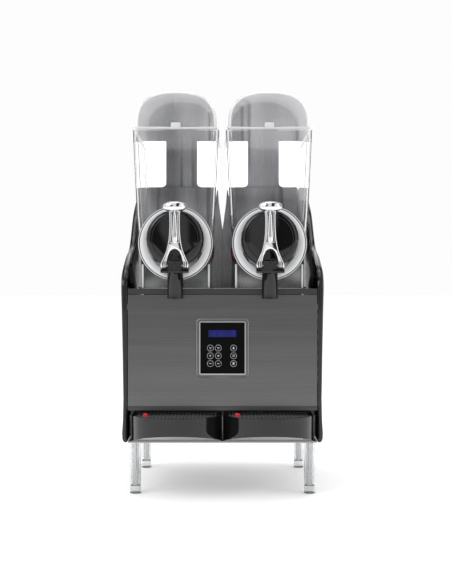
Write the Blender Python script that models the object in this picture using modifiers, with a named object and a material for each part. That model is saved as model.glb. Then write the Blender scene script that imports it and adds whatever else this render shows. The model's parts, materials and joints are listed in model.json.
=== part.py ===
"""Twin-bowl slushie machine, modelled as separate named pieces.

Metres, +Z up, front towards -Y.  The origin is on the ground under the middle of the machine.
Outlines are drawn in a flat plane and given a thickness; round pieces are turned profiles.
"""
import math

import bmesh
import bpy
from mathutils import Matrix, Vector

# ---------------------------------------------------------------- driving dimensions
GAP = 0.0003                 # clearance kept between pieces that touch
SHEET = 0.003                # wall of the moulded and folded cabinet pieces
HALF_WIDTH = 0.200           # outside of the side panels
FRONT = -0.195               # front plane of the cabinet
REAR = 0.270                 # rear face of the grille
LEG_HEIGHT = 0.104           # ground to the underside of the base
DECK_TOP = 0.4078            # surface the bowls stand on
PANEL_THICK = 0.013          # side panel thickness
INNER = HALF_WIDTH - PANEL_THICK
PANEL_REAR = REAR - 0.002

BAY_BACK = -0.115            # back wall of the drip tray bay
BAY_TOP = 0.1765
BAY_LIP = 0.168
PANEL_LOW = BAY_TOP + GAP
PANEL_HIGH = 0.3955

BOWL_PITCH = 0.185           # distance between the two bowl axes
AXIS_Z = 0.497               # height of the drum, auger and nose axis
NOSE_RADIUS = 0.0725
BOWL_WALL = 0.003
BOWL_FRONT = -0.180
BOWL_REAR = 0.158
NOSE_FRONT = -0.1955
BOWL_TOP = 0.7215
BOWL_SIDES = [(0.0776, 0.554), (0.0828, 0.663), (0.0855, BOWL_TOP)]
PORT_RADIUS = 0.008
PORT_Z = 0.452

LID_FLANGE = 0.0880          # half width of the lid's rim
LID_HALF = 0.0813            # half width of the lid's dome
LID_SIDE_TOP = 0.745
LID_REAR_TOP = 0.830
LID_FRONT_TOP = 0.800

TAP_BACK = NOSE_FRONT - GAP
TAP_FRONT = -0.2262
BORE_Y = -0.2110
BORE_RADIUS = 0.0105
BORE_TOP = 0.545
SPOUT_RADIUS = 0.0155
SPOUT_LOW = 0.3887
PIN_Y = -0.2350
PIN_Z = 0.4520
PIN_RADIUS = 0.0025
PISTON_LOW = 0.440
PISTON_HIGH = 0.470

TOWER_FRONT = 0.168
TOWER_REAR = 0.262
TOWER_TOP = 0.6372
COLUMN_FRONT = 0.164
COLUMN_THICK = 0.014
HEAD_LOW = 0.7415
HEAD_TOP = 0.832

DRUM_RADIUS = 0.0555
DRUM_FRONT = -0.150
BLADE_INNER = 0.0575
BLADE_OUTER = 0.0680
SHAFT_RADIUS = 0.0095

TRAY_CENTRE = 0.0901         # distance of each tray's middle from the machine's middle
TRAY_HALF = 0.0889
TRAY_LOW = LEG_HEIGHT + SHEET + 0.0006
TRAY_HIGH = 0.1585
TRAY_SIDE_END = -0.200       # where the straight sides end and the round front starts
TRAY_NOSE = -0.270
TRAY_RISE = 0.0172           # how far the underside rises towards the front
TRAY_WALL = 0.0025
GRID_LOW = 0.1547
GRID_THICK = 0.0025
FLOAT_X = -0.061             # float position in its tray
FLOAT_Y = -0.203

KEYPAD_HALF = 0.0514
KEYPAD_LOW = 0.2328
KEYPAD_HIGH = 0.3488
OVERLAY_HALF = 0.0433
OVERLAY_LOW = 0.2375
OVERLAY_HIGH = 0.3425
OVERLAY_Y = FRONT - 0.0008
KEY_RADIUS = 0.0065
KEY_COLUMNS = (-0.0240, -0.0083, 0.0218)
KEY_ROWS = (0.2908, 0.2755, 0.2602)
KEY_SIDES = 14
FAN_CENTRE = Vector((0.070, 0.208, 0.245))

# ---------------------------------------------------------------- collections and materials
for old in list(bpy.data.objects):
    bpy.data.objects.remove(old)

PARTS = bpy.data.collections.new("slushie_machine")
CUTTERS = bpy.data.collections.new("cutters")
for group in (PARTS, CUTTERS):
    bpy.context.scene.collection.children.link(group)


def material(name, colour, roughness, metallic=0.0, transmission=0.0):
    """A Principled material with one colour."""
    made = bpy.data.materials.new(name)
    made.use_nodes = True
    shader = made.node_tree.nodes["Principled BSDF"]
    shader.inputs["Base Color"].default_value = (*colour, 1.0)
    shader.inputs["Roughness"].default_value = roughness
    shader.inputs["Metallic"].default_value = metallic
    shader.inputs["Transmission Weight"].default_value = transmission
    return made


DARK_STEEL = material("dark_brushed_steel", (0.12, 0.12, 0.125), 0.38, 1.0)
STEEL = material("stainless_steel", (0.62, 0.62, 0.60), 0.28, 1.0)
CHROME = material("chrome", (0.85, 0.85, 0.86), 0.06, 1.0)
BLACK = material("black_plastic", (0.012, 0.012, 0.013), 0.30)
GLOSS = material("gloss_black_plastic", (0.006, 0.006, 0.007), 0.08)
GREY = material("smoke_grey_plastic", (0.16, 0.16, 0.17), 0.35)
CLEAR = material("clear_plastic", (0.95, 0.96, 0.97), 0.04, 0.0, 1.0)
WHITE = material("white_plastic", (0.78, 0.78, 0.76), 0.40)
RED = material("red_rubber", (0.35, 0.010, 0.015), 0.45)
GREEN = material("circuit_board", (0.02, 0.12, 0.05), 0.50)
ALLOY = material("aluminium", (0.60, 0.61, 0.62), 0.35, 1.0)

# ---------------------------------------------------------------- modelling helpers
FRONT_VIEW = Matrix(((1, 0, 0, 0), (0, 0, -1, 0), (0, 1, 0, 0), (0, 0, 0, 1)))
SIDE_VIEW = Matrix(((0, 0, 1, 0), (1, 0, 0, 0), (0, 1, 0, 0), (0, 0, 0, 1)))
PLAN_VIEW = Matrix.Identity(4)


def new_object(name, mesh, finish, group=PARTS):
    """Put a mesh into a collection under a name, with its material."""
    made = bpy.data.objects.new(name, mesh)
    mesh.materials.clear()
    mesh.materials.append(finish)
    group.objects.link(made)
    return made


def from_bmesh(name, bm, finish):
    """Turn a bmesh into an object whose faces point outwards."""
    bmesh.ops.recalc_face_normals(bm, faces=bm.faces)
    mesh = bpy.data.meshes.new(name)
    bm.to_mesh(mesh)
    bm.free()
    mesh.shade_smooth()
    mesh.set_sharp_from_angle(angle=math.radians(35))
    return new_object(name, mesh, finish)


def box(name, low, high, finish=GREY):
    """A box from its lowest to its highest corner."""
    low = Vector(low)
    high = Vector(high)
    bm = bmesh.new()
    bmesh.ops.create_cube(bm, size=1.0)
    bmesh.ops.scale(bm, vec=high - low, verts=bm.verts)
    bmesh.ops.translate(bm, vec=(low + high) / 2, verts=bm.verts)
    return from_bmesh(name, bm, finish)


def rod(name, radius, start, end, finish=GREY, sides=24, end_radius=None):
    """A cylinder, or a cone, from one point to another."""
    start = Vector(start)
    end = Vector(end)
    along = end - start
    bm = bmesh.new()
    last = radius if end_radius is None else end_radius
    bmesh.ops.create_cone(bm, cap_ends=True, segments=sides, radius1=radius, radius2=last,
                          depth=along.length)
    turn = along.to_track_quat("Z", "Y").to_matrix().to_4x4()
    bmesh.ops.transform(bm, matrix=Matrix.Translation((start + end) / 2) @ turn, verts=bm.verts)
    return from_bmesh(name, bm, finish)


def plate(name, loops, near, far, view, finish=GREY, flat=True):
    """A flat outline, with any holes in it, filled and made thick.

    loops holds the outer outline first and then the holes.  near and far are the two faces'
    places along the direction that the view looks in.
    """
    curve = bpy.data.curves.new("outline", "CURVE")
    curve.dimensions = "2D"
    curve.fill_mode = "BOTH"
    curve.extrude = abs(far - near) / 2
    for loop in loops:
        spline = curve.splines.new("POLY")
        spline.points.add(len(loop) - 1)
        for point, (across, up) in zip(spline.points, loop):
            point.co = (across, up, 0, 1)
        spline.use_cyclic_u = True
    guide = bpy.data.objects.new("outline", curve)
    PARTS.objects.link(guide)
    depsgraph = bpy.context.evaluated_depsgraph_get()
    mesh = bpy.data.meshes.new_from_object(guide.evaluated_get(depsgraph))
    bpy.data.objects.remove(guide)
    bpy.data.curves.remove(curve)
    bm = bmesh.new()
    bm.from_mesh(mesh)
    bpy.data.meshes.remove(mesh)
    bmesh.ops.remove_doubles(bm, verts=bm.verts, dist=0.00001)
    if flat:
        bmesh.ops.dissolve_limit(bm, angle_limit=0.01, verts=bm.verts, edges=bm.edges)
    bmesh.ops.transform(bm, matrix=view, verts=bm.verts)
    middle = view.to_3x3() @ Vector((0, 0, 1)) * (near + far) / 2
    if view is FRONT_VIEW:
        middle = -middle
    bmesh.ops.translate(bm, vec=middle, verts=bm.verts)
    return from_bmesh(name, bm, finish)


def turned(name, profile, base, view, finish=GREY, steps=24, closed=True):
    """A profile of (radius, height) points turned about a straight axis through base."""
    bm = bmesh.new()
    points = [bm.verts.new((radius, 0, height)) for radius, height in profile]
    for first, second in zip(points, points[1:]):
        bm.edges.new((first, second))
    if closed:
        bm.edges.new((points[-1], points[0]))
    mesh = bpy.data.meshes.new(name)
    bm.to_mesh(mesh)
    bm.free()
    made = new_object(name, mesh, finish)
    made.matrix_world = Matrix.Translation(base) @ view
    screw = made.modifiers.new("turn", "SCREW")
    screw.steps = steps
    screw.render_steps = steps
    screw.use_merge_vertices = True
    screw.merge_threshold = 0.00001
    screw.use_smooth_shade = True
    return made


ALONG_Y = Matrix.Rotation(math.radians(-90), 4, "X")
UPRIGHT = Matrix.Identity(4)


def boolean(target, tool, operation):
    """Cut or join with another object, which becomes a hidden cutter."""
    step = target.modifiers.new(operation.lower(), "BOOLEAN")
    step.operation = operation
    step.object = tool
    PARTS.objects.unlink(tool)
    CUTTERS.objects.link(tool)
    tool.hide_render = True
    tool.display_type = "WIRE"


def cut(target, *tools):
    """Take each tool's shape out of the target."""
    for tool in tools:
        boolean(target, tool, "DIFFERENCE")


def join(target, *tools):
    """Add each tool's shape to the target, as one body."""
    for tool in tools:
        boolean(target, tool, "UNION")


def bevel(target, width, segments=2):
    """Round the target's sharp edges."""
    step = target.modifiers.new("rounded edges", "BEVEL")
    step.width = width
    step.segments = segments
    step.limit_method = "ANGLE"
    step.angle_limit = math.radians(40)


def pivot(target, point):
    """Move the object's origin to a point on its joint, leaving its shape where it is."""
    shift = Vector(point) - target.location
    target.data.transform(Matrix.Translation(-shift))
    target.location += shift


def arc(centre, radius, start, end, steps):
    """Points on an arc, with angles in degrees from the first axis."""
    points = []
    for index in range(steps + 1):
        angle = math.radians(start + (end - start) * index / steps)
        points.append((centre[0] + radius * math.cos(angle), centre[1] + radius * math.sin(angle)))
    return points


def circle(centre, radius, sides):
    """A closed round outline."""
    return arc(centre, radius, 0, 360, sides)[:-1]


def rectangle(low, high, radius=0.0, steps=3):
    """A rectangle's outline, with round corners if a radius is given."""
    if radius == 0.0:
        return [(low[0], low[1]), (high[0], low[1]), (high[0], high[1]), (low[0], high[1])]
    points = []
    points += arc((high[0] - radius, low[1] + radius), radius, -90, 0, steps)
    points += arc((high[0] - radius, high[1] - radius), radius, 0, 90, steps)
    points += arc((low[0] + radius, high[1] - radius), radius, 90, 180, steps)
    points += arc((low[0] + radius, low[1] + radius), radius, 180, 270, steps)
    return points


def smooth(points, steps):
    """A curve through the points, with a few steps between each pair."""
    result = []
    padded = [points[0], *points, points[-1]]
    for before, first, second, after in zip(padded, padded[1:], padded[2:], padded[3:]):
        for index in range(steps):
            t = index / steps
            weights = (-t + 2 * t * t - t ** 3, 2 - 5 * t * t + 3 * t ** 3,
                       t + 4 * t * t - 3 * t ** 3, -t * t + t ** 3)
            ends = (before, first, second, after)
            result.append(tuple(sum(w * p[axis] for w, p in zip(weights, ends)) / 2
                                for axis in (0, 1)))
    result.append(points[-1])
    return result


def mirrored(right_side):
    """A closed outline from its right half, which runs from the bottom up to the top."""
    left_side = [(-across, up) for across, up in reversed(right_side) if across > 0.000001]
    return right_side + left_side


# ---------------------------------------------------------------- cabinet
def base_frame():
    """Folded floor of the cabinet with the drip tray bay at its front."""
    outline = [
        (FRONT, LEG_HEIGHT), (REAR - 0.004, LEG_HEIGHT), (REAR - 0.004, LEG_HEIGHT + SHEET),
        (BAY_BACK + SHEET, LEG_HEIGHT + SHEET), (BAY_BACK + SHEET, BAY_TOP), (FRONT, BAY_TOP),
        (FRONT, BAY_LIP), (FRONT + SHEET, BAY_LIP), (FRONT + SHEET, BAY_TOP - SHEET),
        (BAY_BACK, BAY_TOP - SHEET), (BAY_BACK, LEG_HEIGHT + SHEET), (FRONT, LEG_HEIGHT + SHEET),
    ]
    return plate("base_frame", [outline], -INNER + 0.0005, INNER - 0.0005, SIDE_VIEW, BLACK)


def front_panel():
    """Brushed sheet panel with the window for the keypad."""
    outer = rectangle((-INNER + 0.0008, PANEL_LOW), (INNER - 0.0008, PANEL_HIGH))
    window = rectangle((-0.0470, 0.2372), (0.0470, 0.3444))
    return plate("front_panel", [outer, window], FRONT, FRONT + 0.002, FRONT_VIEW, DARK_STEEL)


def side_panel(side, label):
    """Moulded side wall whose front edge sweeps back into the rear wing."""
    low = LEG_HEIGHT + 0.0002
    crest = [(FRONT + 0.004, 0.4200), (FRONT + 0.030, 0.4448), (-0.067, 0.4774),
             (0.030, 0.5015), (0.131, 0.5721), (0.215, 0.6080), (0.250, 0.6148)]
    outline = [(FRONT, 0.385)] + smooth(crest, 3)
    outline += arc((PANEL_REAR - 0.018, 0.5968), 0.018, 80, 0, 3)
    outline += [(PANEL_REAR, low), (FRONT, low)]
    outside = side * HALF_WIDTH
    inside = side * INNER
    panel = plate(f"side_panel_{label}", [outline], inside, outside, SIDE_VIEW, BLACK)
    bevel(panel, 0.0045, 2)
    return panel


def top_deck():
    """Folded deck under the bowls, with a pass hole for each bowl's pipes."""
    outline = [(FRONT, PANEL_HIGH + 0.001), (FRONT + SHEET, PANEL_HIGH + 0.001),
               (FRONT + SHEET, DECK_TOP - SHEET), (REAR - 0.004, DECK_TOP - SHEET),
               (REAR - 0.004, DECK_TOP), (FRONT, DECK_TOP)]
    deck = plate("top_deck", [outline], -INNER + 0.0005, INNER - 0.0005, SIDE_VIEW, BLACK)
    for side in (-1, 1):
        middle = side * BOWL_PITCH / 2
        cut(deck, rod("pipe_hole", 0.014, (middle, 0.215, 0.38), (middle, 0.215, 0.42), sides=12))
    return deck


def rear_grille():
    """Rear cover with two columns of air slots and the opening for the power inlet."""
    outer = rectangle((-INNER + 0.0008, LEG_HEIGHT + SHEET + GAP), (INNER - 0.0008, 0.4044), 0.004, 2)
    loops = [outer]
    for row in range(8):
        height = 0.185 + row * 0.025
        for left, right in ((-0.160, -0.012), (0.012, 0.160)):
            loops.append(rectangle((left, height), (right, height + 0.010)))
    loops.append(rectangle((-0.1600, 0.1220), (-0.1300, 0.1480)))
    return plate("rear_grille", loops, REAR - SHEET, REAR, FRONT_VIEW, BLACK)


def leg(side, y, label):
    """Tapered leg with the ring of its adjusting foot."""
    top = LEG_HEIGHT - GAP
    profile = [(0, top), (0.0127, top), (0.0108, 0.0166), (0.0100, 0.0160), (0.0100, 0.0150),
               (0.0108, 0.0144), (0.0112, 0.0030), (0.0095, 0), (0, 0)]
    return turned(f"leg_{label}", profile, (side * 0.1735, y, 0), UPRIGHT, CLEAR, 16, False)


def power_inlet():
    """Mains inlet socket with its three contacts, set in the rear cover."""
    inlet = box("power_inlet", (-0.1595, 0.2450, 0.1225), (-0.1305, REAR - GAP, 0.1475), BLACK)
    cut(inlet, box("socket", (-0.1570, 0.2500, 0.1250), (-0.1330, REAR + 0.002, 0.1450)))
    for x, z in ((-0.1500, 0.1325), (-0.1400, 0.1325), (-0.1450, 0.1390)):
        join(inlet, box("contact", (x - 0.001, 0.2490, z - 0.002), (x + 0.001, 0.2640, z + 0.002)))
    return inlet


# ---------------------------------------------------------------- keypad
def keypad_housing():
    """Framed keypad moulding with a round well behind each key."""
    frame = rectangle((-KEYPAD_HALF, KEYPAD_LOW), (KEYPAD_HALF, KEYPAD_HIGH), 0.008)
    housing = plate("keypad_housing", [frame], FRONT - 0.0022, FRONT - GAP, FRONT_VIEW, GLOSS)
    join(housing, box("keypad_body", (-0.0460, FRONT - 0.001, 0.2380),
                      (0.0460, FRONT + 0.0120, 0.3436)))
    recess = rectangle((-OVERLAY_HALF, OVERLAY_LOW), (OVERLAY_HALF, OVERLAY_HIGH), 0.003)
    cut(housing, plate("overlay_recess", [recess], FRONT - 0.0040, OVERLAY_Y, FRONT_VIEW))
    for z in KEY_ROWS:
        for x in KEY_COLUMNS:
            cut(housing, rod("key_well", KEY_RADIUS + 0.0005, (x, FRONT - 0.004, z),
                             (x, FRONT + 0.008, z), sides=KEY_SIDES))
    cut(housing, box("display_seat", (-0.0280, FRONT - 0.004, 0.3122),
                     (0.0274, FRONT + 0.0010, 0.3262)))
    return housing


def display_window():
    """Clear window over the display, flush with the overlay."""
    return box("display_window", (-0.0277, OVERLAY_Y, 0.3125), (0.0271, FRONT + 0.0007, 0.3259), CLEAR)


def key(number, x, z):
    """Round push key; its origin is at the middle of its face."""
    made = rod(f"key_{number}", KEY_RADIUS, (x, OVERLAY_Y - 0.0004, z), (x, FRONT + 0.006, z),
               GLOSS, KEY_SIDES)
    pivot(made, (x, OVERLAY_Y - 0.0004, z))
    return made


def control_board():
    """Circuit board behind the keypad with its tallest components."""
    back = FRONT + 0.0165
    board = box("control_board", (-0.042, FRONT + 0.0145, 0.236), (0.042, back, 0.344), GREEN)
    join(board, box("relay", (-0.030, back - 0.0005, 0.250), (-0.012, back + 0.014, 0.266)),
         box("transformer", (0.005, back - 0.0005, 0.250), (0.033, back + 0.022, 0.280)))
    return board


# ---------------------------------------------------------------- drip trays
def tray_outline(inset):
    """Plan of a tray about its own middle: straight sides and a round front."""
    half = TRAY_HALF - inset
    nose = TRAY_NOSE + inset
    bulge = TRAY_SIDE_END - nose
    radius = (half * half + bulge * bulge) / (2 * bulge)
    spread = math.degrees(math.asin(half / radius))
    rear = BAY_BACK - 0.0010 - inset
    curve = arc((0, nose + radius), radius, -90 - spread, -90 + spread, 12)
    return [(half, rear), (-half, rear)] + curve


def tray_solid(name, middle, inset, low, high, finish=GLOSS):
    """Solid of the tray's plan whose underside rises towards the round front."""
    loop = [(x + middle, y) for x, y in tray_outline(inset)]
    solid = plate(name, [loop], low, high, PLAN_VIEW, finish)
    bm = bmesh.new()
    bm.from_mesh(solid.data)
    bmesh.ops.bisect_plane(bm, geom=bm.verts[:] + bm.edges[:] + bm.faces[:], dist=0.00001,
                           plane_co=(0, FRONT, 0), plane_no=(0, 1, 0))
    for vert in bm.verts:
        if vert.co.z < low + 0.001 and vert.co.y < FRONT:
            vert.co.z += TRAY_RISE * (FRONT - vert.co.y) / (FRONT - TRAY_NOSE)
    bm.to_mesh(solid.data)
    bm.free()
    return solid


def drip_tray(side, label):
    """Open tray that slides into the bay under the taps."""
    middle = side * TRAY_CENTRE
    tray = tray_solid(f"drip_tray_{label}", middle, 0.0, TRAY_LOW, TRAY_HIGH)
    cut(tray, tray_solid("tray_well", middle, TRAY_WALL, TRAY_LOW + TRAY_WALL, TRAY_HIGH + 0.01))
    for x, y in ((-0.070, -0.135), (0.070, -0.135), (0.0, -0.248)):
        rise = TRAY_RISE * max(0.0, FRONT - y) / (FRONT - TRAY_NOSE)
        join(tray, box("grid_post", (middle + x - 0.003, y - 0.003, TRAY_LOW + rise + 0.0012),
                       (middle + x + 0.003, y + 0.003, GRID_LOW - GAP)))
    pivot(tray, (middle, TRAY_NOSE, TRAY_LOW))
    return tray


def drip_grid(side, label):
    """Slotted drip grid inside the tray's rim, with the float's hole."""
    middle = side * TRAY_CENTRE
    outer = [(x + middle, y) for x, y in tray_outline(TRAY_WALL + 0.0006)]
    loops = [outer]
    for column in range(-2, 5):
        x = middle + column * 0.018
        reach = TRAY_NOSE + 0.018 + abs(x - middle) * 0.42
        loops.append(rectangle((x - 0.005, reach), (x + 0.005, -0.130)))
    loops.append(circle((middle + FLOAT_X, FLOAT_Y), 0.0066, 12))
    grid = plate(f"drip_grid_{label}", loops, GRID_LOW, GRID_LOW + GRID_THICK, PLAN_VIEW, BLACK)
    pivot(grid, (middle, TRAY_NOSE, GRID_LOW))
    return grid


def float_indicator(side, label):
    """Red float whose stem rises through the grid as the tray fills."""
    base = (side * TRAY_CENTRE + FLOAT_X, FLOAT_Y, 0)
    profile = [(0, 0.1630), (0.0040, 0.1630), (0.0050, 0.1615), (0.0050, 0.1300),
               (0.0110, 0.1290), (0.0110, 0.1180), (0, 0.1180)]
    return turned(f"float_indicator_{label}", profile, base, UPRIGHT, RED, 14, False)


# ---------------------------------------------------------------- bowls and lids
def moved(points, middle):
    """The outline shifted sideways to its bowl."""
    return [(across + middle, up) for across, up in points]


def superellipse(half, low, top, steps, power=2.5):
    """Right half of a dome's outline, from its side up to its crown."""
    points = []
    for index in range(steps + 1):
        angle = math.pi / 2 * index / steps
        across = half * math.cos(angle) ** (2 / power)
        points.append((across if index < steps else 0.0,
                       low + (top - low) * math.sin(angle) ** (2 / power)))
    return points


def bowl_solid(name, middle, inset, front, rear, top, finish=CLEAR):
    """Deep tank standing on a half-round bottom, with rounded front and rear edges."""
    right = arc((0, AXIS_Z), NOSE_RADIUS - inset, -90, 0, 8)
    right += [(x - inset, z) for x, z in BOWL_SIDES[:-1]] + [(BOWL_SIDES[-1][0] - inset, top)]
    solid = plate(name, [moved(mirrored(right), middle)], front, rear, FRONT_VIEW, finish)
    bm = bmesh.new()
    bm.from_mesh(solid.data)
    rounded = []
    for edge in bm.edges:
        first, second = (vert.co for vert in edge.verts)
        across = abs(first.y - second.y) < 0.0001
        if across and min(first.z, second.z) < top - 0.001:
            rounded.append(edge)
    bmesh.ops.bevel(bm, geom=rounded, offset=0.009 - inset / 2, segments=2, profile=0.5,
                    affect="EDGES", material=-1)
    bm.to_mesh(solid.data)
    bm.free()
    return solid


def bowl(side, label):
    """Clear bowl: tank, round nose with the tap's port, and the skirt it stands on."""
    middle = side * BOWL_PITCH / 2
    shell = bowl_solid(f"bowl_{label}", middle, 0.0, BOWL_FRONT, BOWL_REAR, BOWL_TOP)
    join(shell, rod("nose", NOSE_RADIUS - 0.0004, (middle, NOSE_FRONT, AXIS_Z),
                    (middle, BOWL_FRONT + 0.012, AXIS_Z), sides=32))
    low = DECK_TOP + GAP
    for edge in (-1, 1):
        skirt = [(0.0640, low), (0.0740, low), (0.0740, low + 0.0032), (0.0670, low + 0.0032),
                 (0.0670, 0.4697), (0.0640, 0.4697)]
        skirt = [(middle + edge * across, up) for across, up in skirt]
        join(shell, plate("skirt", [skirt], BOWL_FRONT + 0.006, BOWL_REAR - 0.016, FRONT_VIEW))
    cut(shell, bowl_solid("bowl_inside", middle, BOWL_WALL, BOWL_FRONT + BOWL_WALL,
                          BOWL_REAR - BOWL_WALL, BOWL_TOP + 0.01))
    inner = NOSE_RADIUS - BOWL_WALL
    cut(shell, rod("nose_inside", inner - 0.0008, (middle, NOSE_FRONT + BOWL_WALL, AXIS_Z),
                   (middle, BOWL_FRONT + 0.02, AXIS_Z), sides=32))
    cut(shell, rod("rear_mouth", inner - 0.0006, (middle, BOWL_REAR - 0.02, AXIS_Z),
                   (middle, BOWL_REAR + 0.01, AXIS_Z), sides=32))
    cut(shell, rod("port", PORT_RADIUS, (middle, NOSE_FRONT - 0.01, PORT_Z),
                   (middle, NOSE_FRONT + 0.010, PORT_Z), sides=12))
    pivot(shell, (middle, BOWL_FRONT, DECK_TOP))
    return shell


def lid_solid(name, middle, inset, low, finish=CLEAR):
    """Domed box whose crown falls towards the front."""
    base = BOWL_TOP
    front = BOWL_FRONT + 0.001 + inset
    rear = BOWL_REAR + 0.001 - inset
    right = [(LID_HALF - inset, low)]
    right += superellipse(LID_HALF - inset, LID_SIDE_TOP, LID_REAR_TOP - inset, 8)
    solid = plate(name, [moved(mirrored(right), middle)], front, rear, FRONT_VIEW, finish)
    bm = bmesh.new()
    bm.from_mesh(solid.data)
    rounded = []
    for edge in bm.edges:
        first, second = (vert.co for vert in edge.verts)
        if max(first.y, second.y) < front + 0.0001 and max(first.z, second.z) > low + 0.001:
            rounded.append(edge)
    bmesh.ops.bevel(bm, geom=rounded, offset=0.016 - inset, segments=2, profile=0.5,
                    affect="EDGES", material=-1)
    fall = (LID_FRONT_TOP - base) / (LID_REAR_TOP - base)
    for vert in bm.verts:
        share = (vert.co.y - front) / (rear - front)
        vert.co.z = base + (vert.co.z - base) * (fall + (1 - fall) * share)
    bm.to_mesh(solid.data)
    bm.free()
    return solid


def lid(side, label):
    """Clear domed lid with its rim and finger tab."""
    middle = side * BOWL_PITCH / 2
    low = BOWL_TOP + GAP
    cover = lid_solid(f"lid_{label}", middle, 0.0, low)
    rim = rectangle((middle - LID_FLANGE, BOWL_FRONT - 0.006),
                    (middle + LID_FLANGE, COLUMN_FRONT - 0.0015), 0.014, 3)
    join(cover, plate("lid_rim", [rim], low, low + 0.0060, PLAN_VIEW))
    join(cover, box("lid_tab", (middle - 0.0115, BOWL_FRONT - 0.0100, low + 0.0008),
                    (middle + 0.0115, BOWL_FRONT - 0.0040, low + 0.0072)))
    cut(cover, lid_solid("lid_inside", middle, 0.0025, low - 0.01))
    pivot(cover, (middle, BOWL_FRONT, low))
    return cover


# ---------------------------------------------------------------- freezing drum and drive
def evaporator_drum(side, label):
    """Thin steel drum, open at the rear, with a tube for the shaft."""
    wall = 0.002
    rear = TOWER_FRONT - 0.0005
    outer = DRUM_RADIUS
    tube = SHAFT_RADIUS + 0.001
    profile = [(0.0645, rear), (0.0645, 0.1605), (outer, 0.1605), (outer, DRUM_FRONT + 0.004),
               (outer - 0.004, DRUM_FRONT), (tube, DRUM_FRONT), (tube, rear),
               (tube + wall, rear), (tube + wall, DRUM_FRONT + wall),
               (outer - 0.005, DRUM_FRONT + wall), (outer - wall, DRUM_FRONT + 0.006),
               (outer - wall, rear)]
    middle = side * BOWL_PITCH / 2
    return turned(f"evaporator_drum_{label}", profile, (middle, 0, AXIS_Z), ALONG_Y, STEEL, 20)


def bowl_gasket(side, label):
    """Red ring that seals the bowl's rear mouth."""
    profile = [(0.0745, 0.1674), (0.0745, 0.1600), (0.0730, 0.1584), (0.0680, 0.1584),
               (0.0680, 0.1674)]
    middle = side * BOWL_PITCH / 2
    return turned(f"bowl_gasket_{label}", profile, (middle, 0, AXIS_Z), ALONG_Y, RED)


def helical_blade(name, turns, steps_per_turn, start, end):
    """Rectangular strip wound about the Y axis from start to end."""
    thick = 0.003
    bm = bmesh.new()
    corners = [(BLADE_INNER, start), (BLADE_OUTER, start), (BLADE_OUTER, start + thick),
               (BLADE_INNER, start + thick)]
    face = bm.faces.new([bm.verts.new((radius, y, 0)) for radius, y in corners])
    steps = int(turns * steps_per_turn)
    bmesh.ops.spin(bm, geom=[face, *face.edges, *face.verts], cent=(0, 0, 0), axis=(0, 1, 0),
                   dvec=(0, (end - start - thick) / steps, 0), angle=math.tau * turns, steps=steps)
    return from_bmesh(name, bm, WHITE)


def auger(side, label):
    """Scraper auger: blade, three bars, front spider and the drive shaft."""
    middle = side * BOWL_PITCH / 2
    screw = helical_blade(f"auger_{label}", 2.75, 16, -0.1645, 0.150)
    rim = circle((0, 0), 0.0665, 24)
    windows = []
    for number in range(3):
        turn = math.radians(90 + 120 * number)
        windows.append(circle((0.039 * math.cos(turn), 0.039 * math.sin(turn)), 0.018, 10))
    join(screw, plate("spider", [rim, *windows], -0.1670, -0.1605, FRONT_VIEW))
    for number in range(3):
        bar = box("bar", (-0.0025, -0.1630, 0.0582), (0.0025, 0.1480, 0.0632))
        bar.data.transform(Matrix.Rotation(math.radians(60 + 120 * number), 4, "Y"))
        join(screw, bar)
    join(screw, rod("shaft", SHAFT_RADIUS, (0, -0.1655, 0), (0, 0.1850, 0), sides=16))
    join(screw, rod("nose_cone", 0.006, (0, -0.1790, 0), (0, -0.1660, 0), sides=12,
                    end_radius=0.013))
    for step in screw.modifiers:
        step.object.data.transform(Matrix.Translation((middle, 0, AXIS_Z)))
    screw.location = (middle, 0, AXIS_Z)
    return screw


def gearmotor(side, label):
    """Gearbox with its motor standing on it, inside the rear tower."""
    middle = side * BOWL_PITCH / 2
    motor = box(f"gearmotor_{label}", (middle - 0.036, 0.1980, 0.4600),
                (middle + 0.036, 0.2500, 0.5360), ALLOY)
    join(motor, rod("gearbox_boss", 0.022, (middle, 0.1853, AXIS_Z), (middle, 0.1990, AXIS_Z),
                    sides=16))
    join(motor, rod("motor_can", 0.0240, (middle, 0.2240, 0.5350), (middle, 0.2240, 0.6000),
                    sides=16))
    return motor


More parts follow.
